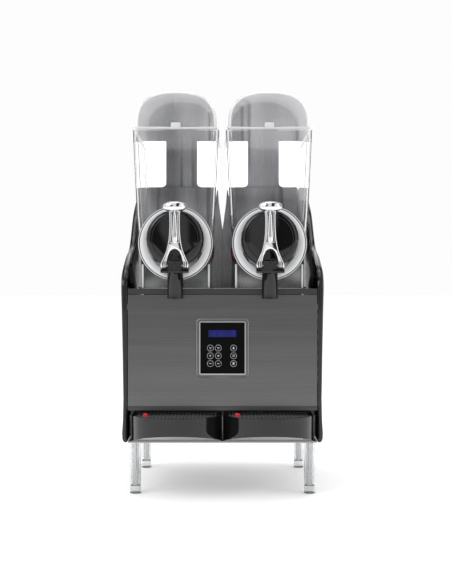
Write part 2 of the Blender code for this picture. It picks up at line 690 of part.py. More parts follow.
# ---------------------------------------------------------------- tap
def tap_body(side, label):
    """Pear-shaped cover, bracket and spout, bored for the piston."""
    middle = side * BOWL_PITCH / 2
    right = [(0, 0.4400), (0.0272, 0.4400), (0.0272, 0.4560)]
    right += [(0.0330, 0.4600)] + arc((0, 0.5048), 0.0563, -40, 90, 10)
    right[-1] = (0, 0.5611)
    body = plate(f"tap_body_{label}", [moved(mirrored(right), middle)], TAP_FRONT, TAP_BACK,
                 FRONT_VIEW, GLOSS)
    bm = bmesh.new()
    bm.from_mesh(body.data)
    rounded = []
    for edge in bm.edges:
        first, second = (vert.co for vert in edge.verts)
        if max(first.y, second.y) < TAP_FRONT + 0.0001 and max(first.z, second.z) > 0.450:
            rounded.append(edge)
    bmesh.ops.bevel(bm, geom=rounded, offset=0.008, segments=3, profile=0.5, affect="EDGES",
                    material=-1)
    bm.to_mesh(body.data)
    bm.free()
    join(body, rod("spout", SPOUT_RADIUS, (middle, BORE_Y, SPOUT_LOW), (middle, BORE_Y, 0.470),
                   sides=20))
    join(body, box("bracket", (middle - 0.0140, -0.2415, 0.4420),
                   (middle + 0.0140, TAP_FRONT + 0.006, 0.4610)))
    join(body, box("ledge", (middle - 0.0272, -0.2415, 0.4380),
                   (middle + 0.0272, TAP_FRONT + 0.007, 0.4435)))
    cut(body, rod("bore", BORE_RADIUS, (middle, BORE_Y, SPOUT_LOW - 0.01),
                  (middle, BORE_Y, BORE_TOP), sides=16))
    cut(body, rod("tap_port", PORT_RADIUS, (middle, BORE_Y, PORT_Z),
                  (middle, NOSE_FRONT + 0.01, PORT_Z), sides=12))
    cut(body, rod("pin_hole", PIN_RADIUS + 0.0004, (middle - 0.03, PIN_Y, PIN_Z),
                  (middle + 0.03, PIN_Y, PIN_Z), sides=12))
    return body


def tap_lever(side, label):
    """Chrome forked lever with an oval pad; its origin is on the pin."""
    middle = side * BOWL_PITCH / 2
    arch = smooth([(0, 0.4840), (0.0085, 0.4800), (0.0138, 0.4660), (0.0150, 0.4560)], 3)
    flank = smooth([(0.0268, 0.4560), (0.0205, 0.4710), (0.0130, 0.4920), (0.0100, 0.5150),
                    (0.0095, 0.5640)], 3)
    right = arch + [(0.0150, 0.4462), (0.0268, 0.4462)] + flank
    lever = plate(f"tap_lever_{label}", [moved(mirrored(right), middle)], -0.2400, -0.2300,
                  FRONT_VIEW, CHROME)
    bm = bmesh.new()
    bmesh.ops.create_uvsphere(bm, u_segments=14, v_segments=7, radius=1.0)
    bmesh.ops.scale(bm, vec=(0.0225, 0.0125, 0.0105), verts=bm.verts)
    bmesh.ops.translate(bm, vec=(middle, -0.2385, 0.5662), verts=bm.verts)
    join(lever, from_bmesh("pad", bm, CHROME))
    cut(lever, rod("lever_hole", PIN_RADIUS + GAP, (middle - 0.03, PIN_Y, PIN_Z),
                   (middle + 0.03, PIN_Y, PIN_Z), sides=12))
    pivot(lever, (middle, PIN_Y, PIN_Z))
    return lever


def tap_pin(side, label):
    """Pin that carries the lever."""
    middle = side * BOWL_PITCH / 2
    return rod(f"tap_pin_{label}", PIN_RADIUS, (middle - 0.0278, PIN_Y, PIN_Z),
               (middle + 0.0278, PIN_Y, PIN_Z), STEEL, 12)


def tap_piston(side, label):
    """Piston that closes the port, with two seal grooves."""
    profile = [(0, PISTON_HIGH), (0.0100, PISTON_HIGH), (0.0100, 0.4665), (0.0088, 0.4660),
               (0.0088, 0.4640), (0.0100, 0.4635), (0.0100, 0.4430), (0.0085, PISTON_LOW),
               (0, PISTON_LOW)]
    middle = side * BOWL_PITCH / 2
    return turned(f"tap_piston_{label}", profile, (middle, BORE_Y, 0), UPRIGHT, WHITE, 14, False)


def tap_spring(side, label):
    """Spring that pushes the piston down."""
    low = PISTON_HIGH + 0.0014
    high = BORE_TOP - 0.0014
    turns = 5.5
    per_turn = 8
    count = int(turns * per_turn)
    curve = bpy.data.curves.new(f"tap_spring_{label}", "CURVE")
    curve.dimensions = "3D"
    curve.bevel_depth = 0.0009
    curve.bevel_resolution = 2
    curve.use_fill_caps = True
    spline = curve.splines.new("POLY")
    spline.points.add(count)
    for index, point in enumerate(spline.points):
        angle = math.tau * index / per_turn
        height = low + (high - low) * index / count
        point.co = (0.0078 * math.cos(angle), 0.0078 * math.sin(angle), height, 1)
    curve.materials.append(STEEL)
    coil = bpy.data.objects.new(f"tap_spring_{label}", curve)
    coil.location = (side * BOWL_PITCH / 2, BORE_Y, 0)
    PARTS.objects.link(coil)
    return coil


# ---------------------------------------------------------------- rear of the machine
def tower_outline(middle, inset, low):
    """Front view of a tower: full width at the deck, leaning in towards its top."""
    right = [(0.0922 - inset, low), (0.0922 - inset, 0.543), (0.0898 - inset, 0.560),
             (0.0845 - inset, 0.600)]
    right += arc((0.0725 - inset, 0.6272 - inset), 0.0100, 15, 90, 3)
    return moved(mirrored(right), middle)


def rear_tower(side, label):
    """Hollow tower behind a bowl, open at its foot, that houses the gearmotor."""
    middle = side * BOWL_PITCH / 2
    tower = plate(f"rear_tower_{label}", [tower_outline(middle, 0.0, DECK_TOP + GAP)],
                  TOWER_FRONT, TOWER_REAR, FRONT_VIEW, BLACK)
    cut(tower, plate("tower_inside", [tower_outline(middle, SHEET, DECK_TOP - 0.01)],
                     TOWER_FRONT + SHEET, TOWER_REAR - SHEET, FRONT_VIEW))
    cut(tower, rod("shaft_hole", 0.0125, (middle, TOWER_FRONT - 0.01, AXIS_Z),
                   (middle, TOWER_FRONT + 0.01, AXIS_Z), sides=16))
    return tower


def rear_column(side, label):
    """Narrow column behind the tank that widens into an arched head behind the lid."""
    middle = side * BOWL_PITCH / 2
    low = TOWER_TOP + GAP
    right = arc((0.044, low + 0.009), 0.009, -90, -180, 3)
    right += [(0.0350, HEAD_LOW), (LID_HALF, HEAD_LOW)]
    right += superellipse(LID_HALF, 0.762, HEAD_TOP, 7)
    column = plate(f"rear_column_{label}", [moved(mirrored(right), middle)], COLUMN_FRONT,
                   COLUMN_FRONT + COLUMN_THICK, FRONT_VIEW, GREY)
    bevel(column, 0.002, 1)
    return column


# ---------------------------------------------------------------- cooling unit
def compressor():
    """Hermetic compressor can on its foot plate."""
    profile = [(0, 0.2560), (0.0300, 0.2540), (0.0560, 0.2410), (0.0640, 0.2200), (0.0640, 0.2020),
               (0.0665, 0.2000), (0.0665, 0.1960), (0.0640, 0.1940), (0.0640, 0.1450),
               (0.0560, 0.1240), (0.0400, 0.1150), (0, 0.1150)]
    centre = Vector((-0.085, 0.050, 0))
    can = turned("compressor", profile, centre, UPRIGHT, BLACK, 20, False)
    floor = LEG_HEIGHT + SHEET + GAP
    join(can, box("foot_plate", centre + Vector((-0.070, -0.055, floor)),
                  centre + Vector((0.070, 0.055, floor + 0.009))))
    return can


def condenser():
    """Finned condenser block in front of the rear grille."""
    left = -0.025
    pitch = 0.014
    fins = 14
    rear = REAR - 0.008
    loop = []
    for number in range(fins):
        x = left + number * pitch
        loop += [(x, 0.236), (x + 0.004, 0.236), (x + 0.004, 0.252), (x + pitch, 0.252)]
    end = left + fins * pitch
    loop += [(end, 0.236), (end + 0.004, 0.236), (end + 0.004, rear), (left, rear)]
    return plate("condenser", [loop], 0.140, 0.350, PLAN_VIEW, ALLOY)


def fan():
    """Five-bladed fan that draws air through the condenser."""
    hub_front = FAN_CENTRE - Vector((0, 0.010, 0))
    hub_rear = FAN_CENTRE + Vector((0, 0.010, 0))
    blades = rod("fan", 0.018, hub_front, hub_rear, BLACK, 15)
    for number in range(5):
        blade = box("blade", (0.014, -0.0013, -0.015), (0.070, 0.0013, 0.015))
        tilt = Matrix.Rotation(math.radians(28), 4, "X")
        turn = Matrix.Rotation(math.radians(72 * number + 5), 4, "Y")
        blade.data.transform(Matrix.Translation(FAN_CENTRE) @ turn @ tilt)
        join(blades, blade)
    pivot(blades, FAN_CENTRE)
    return blades


def fan_motor():
    """Fan motor on its stand."""
    centre = FAN_CENTRE
    motor = rod("fan_motor", 0.027, centre - Vector((0, 0.066, 0)), centre - Vector((0, 0.0105, 0)),
                ALLOY, 18)
    join(motor, box("stand", (centre.x - 0.020, centre.y - 0.056, LEG_HEIGHT + SHEET + GAP),
                    (centre.x + 0.020, centre.y - 0.030, centre.z - 0.020)))
    return motor


# ---------------------------------------------------------------- the machine
base_frame()
front_panel()
top_deck()
rear_grille()
power_inlet()
keypad_housing()
display_window()
control_board()
for row, row_z in enumerate(KEY_ROWS):
    for column, column_x in enumerate(KEY_COLUMNS):
        key(3 * row + column + 1, column_x, row_z)

for side_sign, side_name in ((-1, "left"), (1, "right")):
    side_panel(side_sign, side_name)
    leg(side_sign, -0.160, f"front_{side_name}")
    leg(side_sign, 0.190, f"rear_{side_name}")
    drip_tray(side_sign, side_name)
    drip_grid(side_sign, side_name)
    float_indicator(side_sign, side_name)
    bowl(side_sign, side_name)
    lid(side_sign, side_name)
    evaporator_drum(side_sign, side_name)
    bowl_gasket(side_sign, side_name)
    auger(side_sign, side_name)
    gearmotor(side_sign, side_name)
    tap_body(side_sign, side_name)
    tap_lever(side_sign, side_name)
    tap_pin(side_sign, side_name)
    tap_piston(side_sign, side_name)
    tap_spring(side_sign, side_name)
    rear_tower(side_sign, side_name)
    rear_column(side_sign, side_name)

compressor()
condenser()
fan()
fan_motor()
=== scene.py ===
# This lesson gives the machine its looks. Where an engineered part is only a plain stand-in, a
# finer piece is modelled and replaces it. Where its shape is right, it stays and gets a finish.

# %% Load the frame
import json
import math

import bmesh
import bpy
from mathutils import Matrix, Vector


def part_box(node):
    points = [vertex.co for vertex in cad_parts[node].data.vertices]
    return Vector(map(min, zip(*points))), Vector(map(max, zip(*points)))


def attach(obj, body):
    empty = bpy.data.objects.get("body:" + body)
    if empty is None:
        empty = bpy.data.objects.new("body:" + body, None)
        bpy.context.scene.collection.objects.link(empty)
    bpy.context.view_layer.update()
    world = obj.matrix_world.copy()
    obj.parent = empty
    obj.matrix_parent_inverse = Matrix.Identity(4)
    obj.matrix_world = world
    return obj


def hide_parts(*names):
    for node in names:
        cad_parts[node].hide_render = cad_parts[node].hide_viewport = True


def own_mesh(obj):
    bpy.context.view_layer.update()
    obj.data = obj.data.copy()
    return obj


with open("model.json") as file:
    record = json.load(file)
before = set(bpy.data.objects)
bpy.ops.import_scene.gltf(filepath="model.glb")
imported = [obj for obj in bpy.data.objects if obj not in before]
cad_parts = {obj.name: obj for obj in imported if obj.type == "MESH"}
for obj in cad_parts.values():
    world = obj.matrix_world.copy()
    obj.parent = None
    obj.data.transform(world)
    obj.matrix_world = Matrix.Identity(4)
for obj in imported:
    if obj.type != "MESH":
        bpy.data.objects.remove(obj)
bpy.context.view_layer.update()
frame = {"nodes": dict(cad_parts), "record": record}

nodes = frame["nodes"]
joints = {joint["name"]: joint for joint in frame["record"]["behaviour"]["joints"]}
SIDES = (("left", -1), ("right", 1))

# %% [markdown]
# ## Shader maths in plain Python
# A node tree is a formula. It could be wired by hand, but long formulas are easier to read as
# expressions, so one small class wraps a socket and turns +, -, * and / into Math nodes. Every
# other node comes from one method of the finish it belongs to.

# %% The socket wrapper
class Value:
    """A socket that can be used in arithmetic."""

    def __init__(self, finish, socket):
        self.finish = finish
        self.socket = socket

    def math(self, operation, first, second=None):
        values = {0: first} if second is None else {0: first, 1: second}
        return self.finish.node("ShaderNodeMath", {"operation": operation}, values)

    def __add__(self, other):
        return self.math("ADD", self, other)

    def __radd__(self, other):
        return self.math("ADD", other, self)

    def __sub__(self, other):
        return self.math("SUBTRACT", self, other)

    def __rsub__(self, other):
        return self.math("SUBTRACT", other, self)

    def __mul__(self, other):
        return self.math("MULTIPLY", self, other)

    def __rmul__(self, other):
        return self.math("MULTIPLY", other, self)

    def __truediv__(self, other):
        return self.math("DIVIDE", self, other)

    def power(self, exponent):
        return self.math("POWER", self, exponent)

    def above(self, edge):
        return self.math("GREATER_THAN", self, edge)

    def clamp(self):
        return self.finish.node("ShaderNodeClamp", {}, {0: self})


print("sockets can be added, subtracted, multiplied, divided, raised, compared and clamped")

# %% [markdown]
# A finish is a material with a Principled shader. Its constants go straight onto the shader's
# sockets, and its methods add the nodes for what varies: places, noise, colour blends and relief.

# %% The finish builder
class Finish:
    """A material with its Principled shader and short ways to add nodes."""

    def __init__(self, name, **constants):
        self.material = bpy.data.materials.new(name)
        self.material.use_nodes = True
        self.tree = self.material.node_tree
        self.tree.nodes.clear()
        self.shader = self.tree.nodes.new("ShaderNodeBsdfPrincipled")
        self.output = self.tree.nodes.new("ShaderNodeOutputMaterial")
        self.tree.links.new(self.shader.outputs[0], self.output.inputs[0])
        for key, value in constants.items():
            self.shader.inputs[key.replace("_", " ")].default_value = value

    def node(self, kind, settings, values, output=0):
        """Any node: its settings first, then the values or links of its inputs."""
        made = self.tree.nodes.new(kind)
        for key, value in settings.items():
            setattr(made, key, value)
        for key, value in values.items():
            self.feed(made.inputs[key], value)
        return Value(self, made.outputs[output])

    def feed(self, target, value):
        """Put a number, a colour or a wrapped socket into an input."""
        if isinstance(value, Value):
            self.tree.links.new(value.socket, target)
        else:
            target.default_value = value

    def place(self, scale=(1, 1, 1)):
        """Object coordinates, stretched."""
        where = self.node("ShaderNodeTexCoord", {}, {}, "Object")
        return self.node("ShaderNodeMapping", {}, {"Vector": where, "Scale": scale})

    def noise(self, size, stretch=(1, 1, 1), detail=3.0, roughness=0.55):
        """Noise with features about `size` metres across."""
        values = {"Vector": self.place(stretch), "Scale": 1 / size, "Detail": detail,
                  "Roughness": roughness}
        return self.node("ShaderNodeTexNoise", {}, values)

    def blend(self, factor, first, second):
        """Mix two colours."""
        values = {0: factor, 6: (*first, 1.0) if isinstance(first, tuple) else first,
                  7: (*second, 1.0) if isinstance(second, tuple) else second}
        return self.node("ShaderNodeMix", {"data_type": "RGBA"}, values, 2)

    def lightness(self, colour):
        """A colour's first channel as a number."""
        return self.node("ShaderNodeSeparateColor", {}, {0: colour})

    def height(self):
        """The height of the point above the floor, in metres."""
        return self.node("ShaderNodeSeparateXYZ", {}, {0: self.place()}, "Z")

    def set(self, name, value):
        """Feed one of the shader's own sockets."""
        self.feed(self.shader.inputs[name], value)

    def bump(self, height, distance, strength=1.0):
        """Relief from a height value."""
        values = {"Height": height, "Distance": distance, "Strength": strength}
        self.set("Normal", self.node("ShaderNodeBump", {}, values))

    def done(self, colour, roughness, height=None, distance=0.0, strength=1.0):
        """Set the colour, the gloss and any relief, and return the finished material."""
        self.set("Base Color", colour)
        self.set("Roughness", roughness)
        if height is not None:
            self.bump(height, distance, strength)
        return self.material


print("finish methods:", [name for name in vars(Finish) if not name.startswith("_")])

# %% [markdown]
# ## The finishes
# Moulded plastic is never one flat colour: its gloss drifts, it has a fine spark texture and the
# odd fine scratch. One function makes that family. Brushed steel, clear plastic and the display
# each need their own pattern, so they get their own short functions.

# %% Moulded plastics, rubber and plain metals
def moulded(name, colour, roughness, metallic=0.0, grain=0.0006, depth=0.00002, drift=0.06,
            **more):
    """Finish with drifting gloss, slightly uneven colour and a fine grain."""
    finish = Finish(name, Metallic=metallic, **more)
    cloud = finish.noise(0.06)
    fine = finish.noise(grain, detail=1.0)
    scratch = finish.noise(0.004, (0.08, 1.0, 1.6), 4.0, 0.7)
    worn = (scratch - 0.62).clamp() * 1.5
    lighter = tuple(min(1.0, channel * 1.25 + 0.004) for channel in colour)
    gloss = (roughness - drift / 2 + cloud * drift + worn * 0.12).clamp()
    return finish.done(finish.blend(cloud, colour, lighter), gloss, fine, depth, 0.5)


satin_black = moulded("satin_black_moulding", (0.006, 0.006, 0.0065), 0.24, grain=0.0009,
                      depth=0.00003, IOR=1.38)
gloss_black = moulded("gloss_black_moulding", (0.0025, 0.0025, 0.003), 0.05, drift=0.04,
                      depth=0.000004, IOR=1.47)
smoke_grey = moulded("smoke_grey_moulding", (0.035, 0.035, 0.036), 0.22)
satin_white = moulded("satin_light_ring", (0.56, 0.565, 0.575), 0.22, depth=0.00001)
milk_white = moulded("auger_white", (0.70, 0.70, 0.68), 0.38)
red_rubber = moulded("red_silicone", (0.26, 0.006, 0.012), 0.42)
red_float = moulded("red_float", (0.62, 0.018, 0.020), 0.30)
board_green = moulded("board_green", (0.015, 0.10, 0.04), 0.45, grain=0.002, depth=0.00008)
alloy = moulded("cast_alloy", (0.52, 0.53, 0.54), 0.38, 1.0, grain=0.0008, depth=0.00006)
steel = moulded("satin_steel", (0.60, 0.60, 0.59), 0.24, 1.0, grain=0.0005, depth=0.00001)
chrome = moulded("polished_chrome", (0.66, 0.665, 0.68), 0.06, 1.0, drift=0.03, depth=0.000002)
white_print = moulded("white_print", (0.42, 0.43, 0.44), 0.45, depth=0.000004)
print("plain finishes made:", len(bpy.data.materials))

# %% [markdown]
# Brushed steel is noise stretched a hundred times along the brushing direction. The same streaks
# move the colour, the roughness and a tiny bump, so the panel catches light in fine level lines.
# The colour is also painted lighter towards the foot, a painted reflection of the pale floor.

# %% Dark brushed steel
PANEL_TOP = 0.40


def brushed_steel():
    """Level streaks, fine and broad, and a painted floor reflection that leaves the top of the
    panel darker.
    """
    finish = Finish("dark_brushed_steel", Metallic=1.0, Anisotropic=0.55)
    streak = finish.noise(0.0011, (0.008, 1.0, 1.0), 5.0, 0.65)
    broad = finish.noise(0.010, (0.02, 1.0, 1.0), 2.0)
    cloud = finish.noise(0.12)
    # Painted reflection of the pale floor: the colour grows lighter further below the panel's top.
    painted_floor_light = PANEL_TOP - finish.height()
    tone = (streak * 0.5 + broad * 0.3 + painted_floor_light * 1.6 - 0.08).clamp()
    colour = finish.blend(tone, (0.070, 0.070, 0.072), (0.175, 0.175, 0.178))
    gloss = (0.27 + streak * 0.12 + cloud * 0.06).clamp()
    return finish.done(colour, gloss, streak, 0.00002, 0.6)


dark_steel = brushed_steel()
print("brushed finish:", dark_steel.name)

# %% [markdown]
# The bowls are clear moulded plastic, so light is bent by their walls. A low index of refraction
# keeps what stands behind them in place. The lids have many surfaces close together, where true
# refraction goes dark, so they are thin in alpha and turn milky at a glancing angle instead. A
# Layer Weight node gives that angle. The legs are thick, and refract as solid plastic does.

# %% Clear plastics
def haze_and_scuffs(finish):
    """A slow cloud, and fine scuffs that run upright."""
    return finish.noise(0.05), (finish.noise(0.003, (1, 1, 0.2), 4.0, 0.7) - 0.6).clamp()


def clear_wall():
    """Clear bowl: a slow haze and fine scuffs move its colour and gloss."""
    finish = Finish("clear_bowl_plastic", IOR=1.24, Transmission_Weight=1.0,
                    Specular_IOR_Level=0.9)
    haze, scuff = haze_and_scuffs(finish)
    colour = finish.blend(haze, (0.97, 0.97, 0.98), (0.93, 0.93, 0.945))
    return finish.done(colour, 0.015 + haze * 0.02 + scuff * 0.25, haze, 0.0003, 0.2)


def clear_cover():
    """Clear lid: nearly empty face on, milky near its outline, with a painted grey edge for
    refraction and a faint painted white glow.
    """
    face_on, edge_on = 0.03, 0.95
    # The faint white emission is painted light, a glow that makes the lid read milky.
    finish = Finish("clear_lid_plastic", IOR=1.49, Coat_Weight=0.3, Coat_Roughness=0.02,
                    Emission_Color=(1, 1, 1, 1), Emission_Strength=0.10)
    facing = finish.node("ShaderNodeLayerWeight", {}, {"Blend": 0.5}, "Facing")
    haze, scuff = haze_and_scuffs(finish)
    # The grey at the outline is painted shade for the dark refraction at the lid's edge.
    milky = finish.blend(facing.power(9.0), (0.93, 0.93, 0.95), (0.34, 0.34, 0.35))
    solid = face_on + facing.power(2.2) * (edge_on - face_on)
    finish.set("Alpha", (solid + haze * 0.02 + scuff * 0.1).clamp())
    return finish.done(milky, 0.03 + haze * 0.03 + scuff * 0.3)


def clear_leg_plastic():
    """Solid clear plastic for the legs, slightly smoky, with fine drawn lines."""
    finish = Finish("clear_leg_plastic", IOR=1.33, Transmission_Weight=0.94)
    line = finish.noise(0.008, (1.0, 1.0, 0.03), 1.0)
    colour = finish.blend(line, (0.80, 0.805, 0.815), (0.92, 0.925, 0.93))
    return finish.done(colour, 0.02 + line * 0.05, line, 0.0002, 0.05)


clear_bowl = clear_wall()
clear_lid = clear_cover()
leg_clear = clear_leg_plastic()
print("clear finishes:", clear_bowl.name, clear_lid.name, leg_clear.name)

# %% [markdown]
# The base frame is one folded part: its lip above the trays is dark like the front panel and its
# edge below them is pale. The towers behind the tanks are polished panels whose soft upright
# streaks are painted reflections, crossed by narrow painted dark streaks. Both read a coordinate
# and blend two colours by it.

# %% Base and tower finishes
TONE_CHANGE = 0.150


def two_tone_base():
    """Dark steel above the trays, pale steel below."""
    finish = Finish("two_tone_base", Metallic=1.0)
    upper = finish.height().above(TONE_CHANGE)
    streak = finish.noise(0.0012, (0.01, 1.0, 1.0), 4.0, 0.6)
    pale = finish.blend(streak, (0.30, 0.30, 0.30), (0.38, 0.38, 0.38))
    dark = finish.blend(streak, (0.05, 0.05, 0.052), (0.09, 0.09, 0.092))
    colour = finish.blend(upper, pale, dark)
    return finish.done(colour, 0.24 + streak * 0.14, streak, 0.00002, 0.5)


def painted_reflection_panel():
    """Polished grey panel with painted reflections as soft upright streaks and slow level waves,
    and narrow painted dark streaks.
    """
    finish = Finish("streaked_grey_panel", Metallic=0.35)
    upright = finish.noise(0.045, (1.0, 1.0, 0.05), 0.0)
    level = finish.noise(0.080, (0.25, 1.0, 1.0), 1.0)
    fine = finish.noise(0.0008, (1.0, 1.0, 0.02), 3.0)
    narrow = finish.noise(0.016, (1.0, 1.0, 0.04), 0.0)
    # The waves are painted reflections, and the narrow lines are painted dark streaks.
    painted_reflection_wave = ((upright * 0.5 + level * 0.5 - 0.34) * 3.0).clamp()
    painted_dark_streak = ((narrow - 0.60) * 9.0).clamp() * 0.7
    grey = finish.blend(painted_reflection_wave, (0.11, 0.11, 0.113), (0.50, 0.50, 0.505))
    colour = finish.blend(painted_dark_streak, grey, (0.035, 0.035, 0.036))
    return finish.done(colour, 0.20 + fine * 0.12, fine, 0.00001, 0.4)


base_steel = two_tone_base()
painted_streak_grey = painted_reflection_panel()
deck_grey = moulded("dark_deck", (0.022, 0.022, 0.023), 0.30, 0.3)
print("base changes tone at", TONE_CHANGE)

# %% [markdown]
# ## Stage, light and camera
# The machine stands in a white studio: a wide pale floor, one big soft light from the upper left,
# weaker ones from the right, above and behind, and a long lens that looks level, so upright lines
# stay upright. A small shift of the lens frames the machine without tilting it.

# %% Floor
def pale_floor():
    """A wide paper floor, faintly clouded and slightly lit so its shadow stays soft."""
    shape = bmesh.new()
    bmesh.ops.create_grid(shape, x_segments=1, y_segments=1, size=60.0)
    mesh = bpy.data.meshes.new("studio_floor")
    shape.to_mesh(mesh)
    shape.free()
    floor = bpy.data.objects.new("studio_floor", mesh)
    bpy.context.scene.collection.objects.link(floor)
    paper = Finish("studio_paper", Emission_Color=(1, 1, 1, 1), Emission_Strength=0.18)
    cloud = paper.noise(0.5)
    colour = paper.blend(cloud, (0.955, 0.955, 0.955), (0.965, 0.965, 0.965))
    mesh.materials.append(paper.done(colour, 0.75 + cloud * 0.1))
    print("floor laid:", len(mesh.polygons), "face")


pale_floor()


# %% Lights and camera
MIDDLE = Vector((0.0, 0.0, 0.42))
LENS_PLACE = (0.0, -2.595, 0.409)
FOCAL_MM = 75.2
FRAME_SHIFT = (0.006, -0.007)


def soft_light(name, place, size, watts):
    """A rectangular area light that looks at the machine's middle."""
    lamp = bpy.data.lights.new(name, "AREA")
    lamp.shape = "RECTANGLE"
    lamp.size, lamp.size_y = size
    lamp.energy = watts
    lit = bpy.data.objects.new(name, lamp)
    lit.location = place
    lit.rotation_euler = (MIDDLE - lit.location).to_track_quat("-Z", "Y").to_euler()
    bpy.context.scene.collection.objects.link(lit)
    print(name, watts, "watts")


def long_lens():
    """A level camera on a long lens, straight in front of the machine."""
    camera = bpy.data.cameras.new("long_lens")
    camera.sensor_width = 36.0
    camera.lens = FOCAL_MM
    camera.shift_x, camera.shift_y = FRAME_SHIFT
    holder = bpy.data.objects.new("long_lens", camera)
    holder.location = LENS_PLACE
    holder.rotation_euler = (math.radians(90), 0.0, 0.0)
    bpy.context.scene.collection.objects.link(holder)
    bpy.context.scene.camera = holder


long_lens()
soft_light("key_softbox", (-1.3, -1.5, 1.9), (1.4, 1.4), 18)
soft_light("fill_softbox", (1.7, -1.2, 1.0), (1.0, 1.6), 6)
soft_light("top_softbox", (0.0, 0.4, 2.4), (1.6, 1.6), 10)
soft_light("back_softbox", (0.5, 2.2, 1.4), (1.8, 1.6), 8)

# %% [markdown]
# Chrome and glossy plastic only look right with something dark to reflect. The backdrop is white to
# the eye, but for glossy rays a colour ramp across the room puts dark bands between white ones,
# like the gaps between a studio's softboxes. A Light Path node tells the two apart.

# %% The room that the gloss sees
ROOM_WHITE = 0.98
ROOM_BANDS = ((0.00, 0.9), (0.27, 0.95), (0.31, 0.03), (0.37, 0.03), (0.41, 0.8), (0.50, 0.9),
              (0.545, 0.9), (0.575, 0.03), (0.68, 0.03), (0.72, 1.0), (0.86, 1.0), (0.90, 0.05),
              (0.96, 0.05), (1.00, 0.8))


def white_room():
    """A white backdrop, with darker walls that only the reflections see."""
    world = bpy.data.worlds.new("white_room")
    world.use_nodes = True
    tree = world.node_tree
    back = tree.nodes["Background"]
    where = tree.nodes.new("ShaderNodeTexCoord")
    axes = tree.nodes.new("ShaderNodeSeparateXYZ")
    bands = tree.nodes.new("ShaderNodeValToRGB")
    path = tree.nodes.new("ShaderNodeLightPath")
    pick = tree.nodes.new("ShaderNodeMix")
    pick.data_type = "RGBA"
    pick.inputs[6].default_value = (ROOM_WHITE, ROOM_WHITE, ROOM_WHITE, 1.0)
    ramp = bands.color_ramp
    while len(ramp.elements) < len(ROOM_BANDS):
        ramp.elements.new(1.0)
    for element, (place, level) in zip(ramp.elements, ROOM_BANDS):
        element.position = place
        element.color = (level, level, level, 1.0)
    spread = tree.nodes.new("ShaderNodeMapRange")
    spread.inputs[1].default_value = -1.0
    tree.links.new(where.outputs["Generated"], axes.inputs[0])
    tree.links.new(axes.outputs["X"], spread.inputs[0])
    tree.links.new(spread.outputs[0], bands.inputs[0])
    tree.links.new(path.outputs["Is Glossy Ray"], pick.inputs[0])
    tree.links.new(bands.outputs[0], pick.inputs[7])
    tree.links.new(pick.outputs[2], back.inputs[0])
    back.inputs[1].default_value = 1.0
    bpy.context.scene.world = world


white_room()
bpy.context.scene.view_settings.view_transform = "Standard"
print("room bands:", len(ROOM_BANDS))

# %% [markdown]
# ## Finishes for the engineered parts
# Every engineered part gets a finish, picked by the start of its name, so left and right share one.
# The longest matching start wins.

# %% Dress the engineered parts
PLAIN = {
    "base_frame": base_steel, "front_panel": dark_steel, "side_panel": satin_black,
    "top_deck": deck_grey, "rear_grille": satin_black, "power_inlet": satin_black,
    "keypad_housing": gloss_black, "display_window": gloss_black, "key": gloss_black,
    "control_board": board_green, "leg": leg_clear, "drip_tray": gloss_black,
    "drip_grid": gloss_black, "float": red_float, "bowl_gasket": red_rubber, "bowl": clear_bowl,
    "lid": clear_lid, "evaporator_drum": steel, "auger": milk_white, "gearmotor": alloy,
    "tap_body": gloss_black, "tap_lever": chrome, "tap_pin": steel, "tap_piston": milk_white,
    "tap_spring": steel, "rear_tower": painted_streak_grey, "rear_column": painted_streak_grey,
    "compressor": satin_black, "condenser": alloy, "fan_motor": alloy, "fan": satin_black,
}
ORDER = sorted(PLAIN, key=len, reverse=True)
dressed = {}
for name, part in nodes.items():
    start = next((word for word in ORDER if name.startswith(word)), None)
    if start is None:
        print("no finish for", name)
        continue
    part.data.materials.clear()
    part.data.materials.append(PLAIN[start])
    dressed.setdefault(start, []).append(name)
print({word: len(names) for word, names in dressed.items()})


# %% [markdown]
# ## Small helpers for new pieces
# A new piece starts as a bmesh, which is Blender's editable mesh. These helpers turn a finished one
# into an object that rides on a body, spin a profile into a round part, and copy an engineered part
# when its outline is worth keeping.

# %% Helpers
def settle(name, shape, finishes, body, sharp=35.0):
    """Make a bmesh an object that rides on a body."""
    bmesh.ops.remove_doubles(shape, verts=shape.verts, dist=0.000005)
    mesh = bpy.data.meshes.new(name)
    shape.to_mesh(mesh)
    shape.free()
    mesh.shade_smooth()
    mesh.set_sharp_from_angle(angle=math.radians(sharp))
    for finish in finishes if isinstance(finishes, (list, tuple)) else [finishes]:
        mesh.materials.append(finish)
    made = bpy.data.objects.new(name, mesh)
    bpy.context.scene.collection.objects.link(made)
    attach(made, body)
    return made


def thread(shape, points):
    """Vertices joined by edges, in order."""
    verts = [shape.verts.new(point) for point in points]
    return verts + [shape.edges.new(pair) for pair in zip(verts, verts[1:])]


def turn(shape, points, centre, axis, steps=48, closed=False):
    """Spin (radius, along) points round an axis through the centre."""
    side = Vector((1, 0, 0))
    path = [Vector(centre) + side * radius + Vector(axis) * along for radius, along in points]
    line = thread(shape, path)
    if closed:
        line.append(shape.edges.new((line[len(points) - 1], line[0])))
    bmesh.ops.spin(shape, geom=line, cent=centre, axis=axis, angle=math.tau, steps=steps,
                   use_merge=True)
    bmesh.ops.remove_doubles(shape, verts=shape.verts, dist=0.000005)
    bmesh.ops.recalc_face_normals(shape, faces=shape.faces)


def outline_face(shape, points):
    """One flat face through the points."""
    return shape.faces.new([shape.verts.new(point) for point in points])


def slab(shape, low, high):
    """A box between two corners, added to the bmesh."""
    middle = (Vector(low) + Vector(high)) / 2
    size = Vector(high) - Vector(low)
    place = Matrix.Translation(middle) @ Matrix.Diagonal((*size, 1.0))
    return bmesh.ops.create_cube(shape, size=1.0, matrix=place)["verts"]


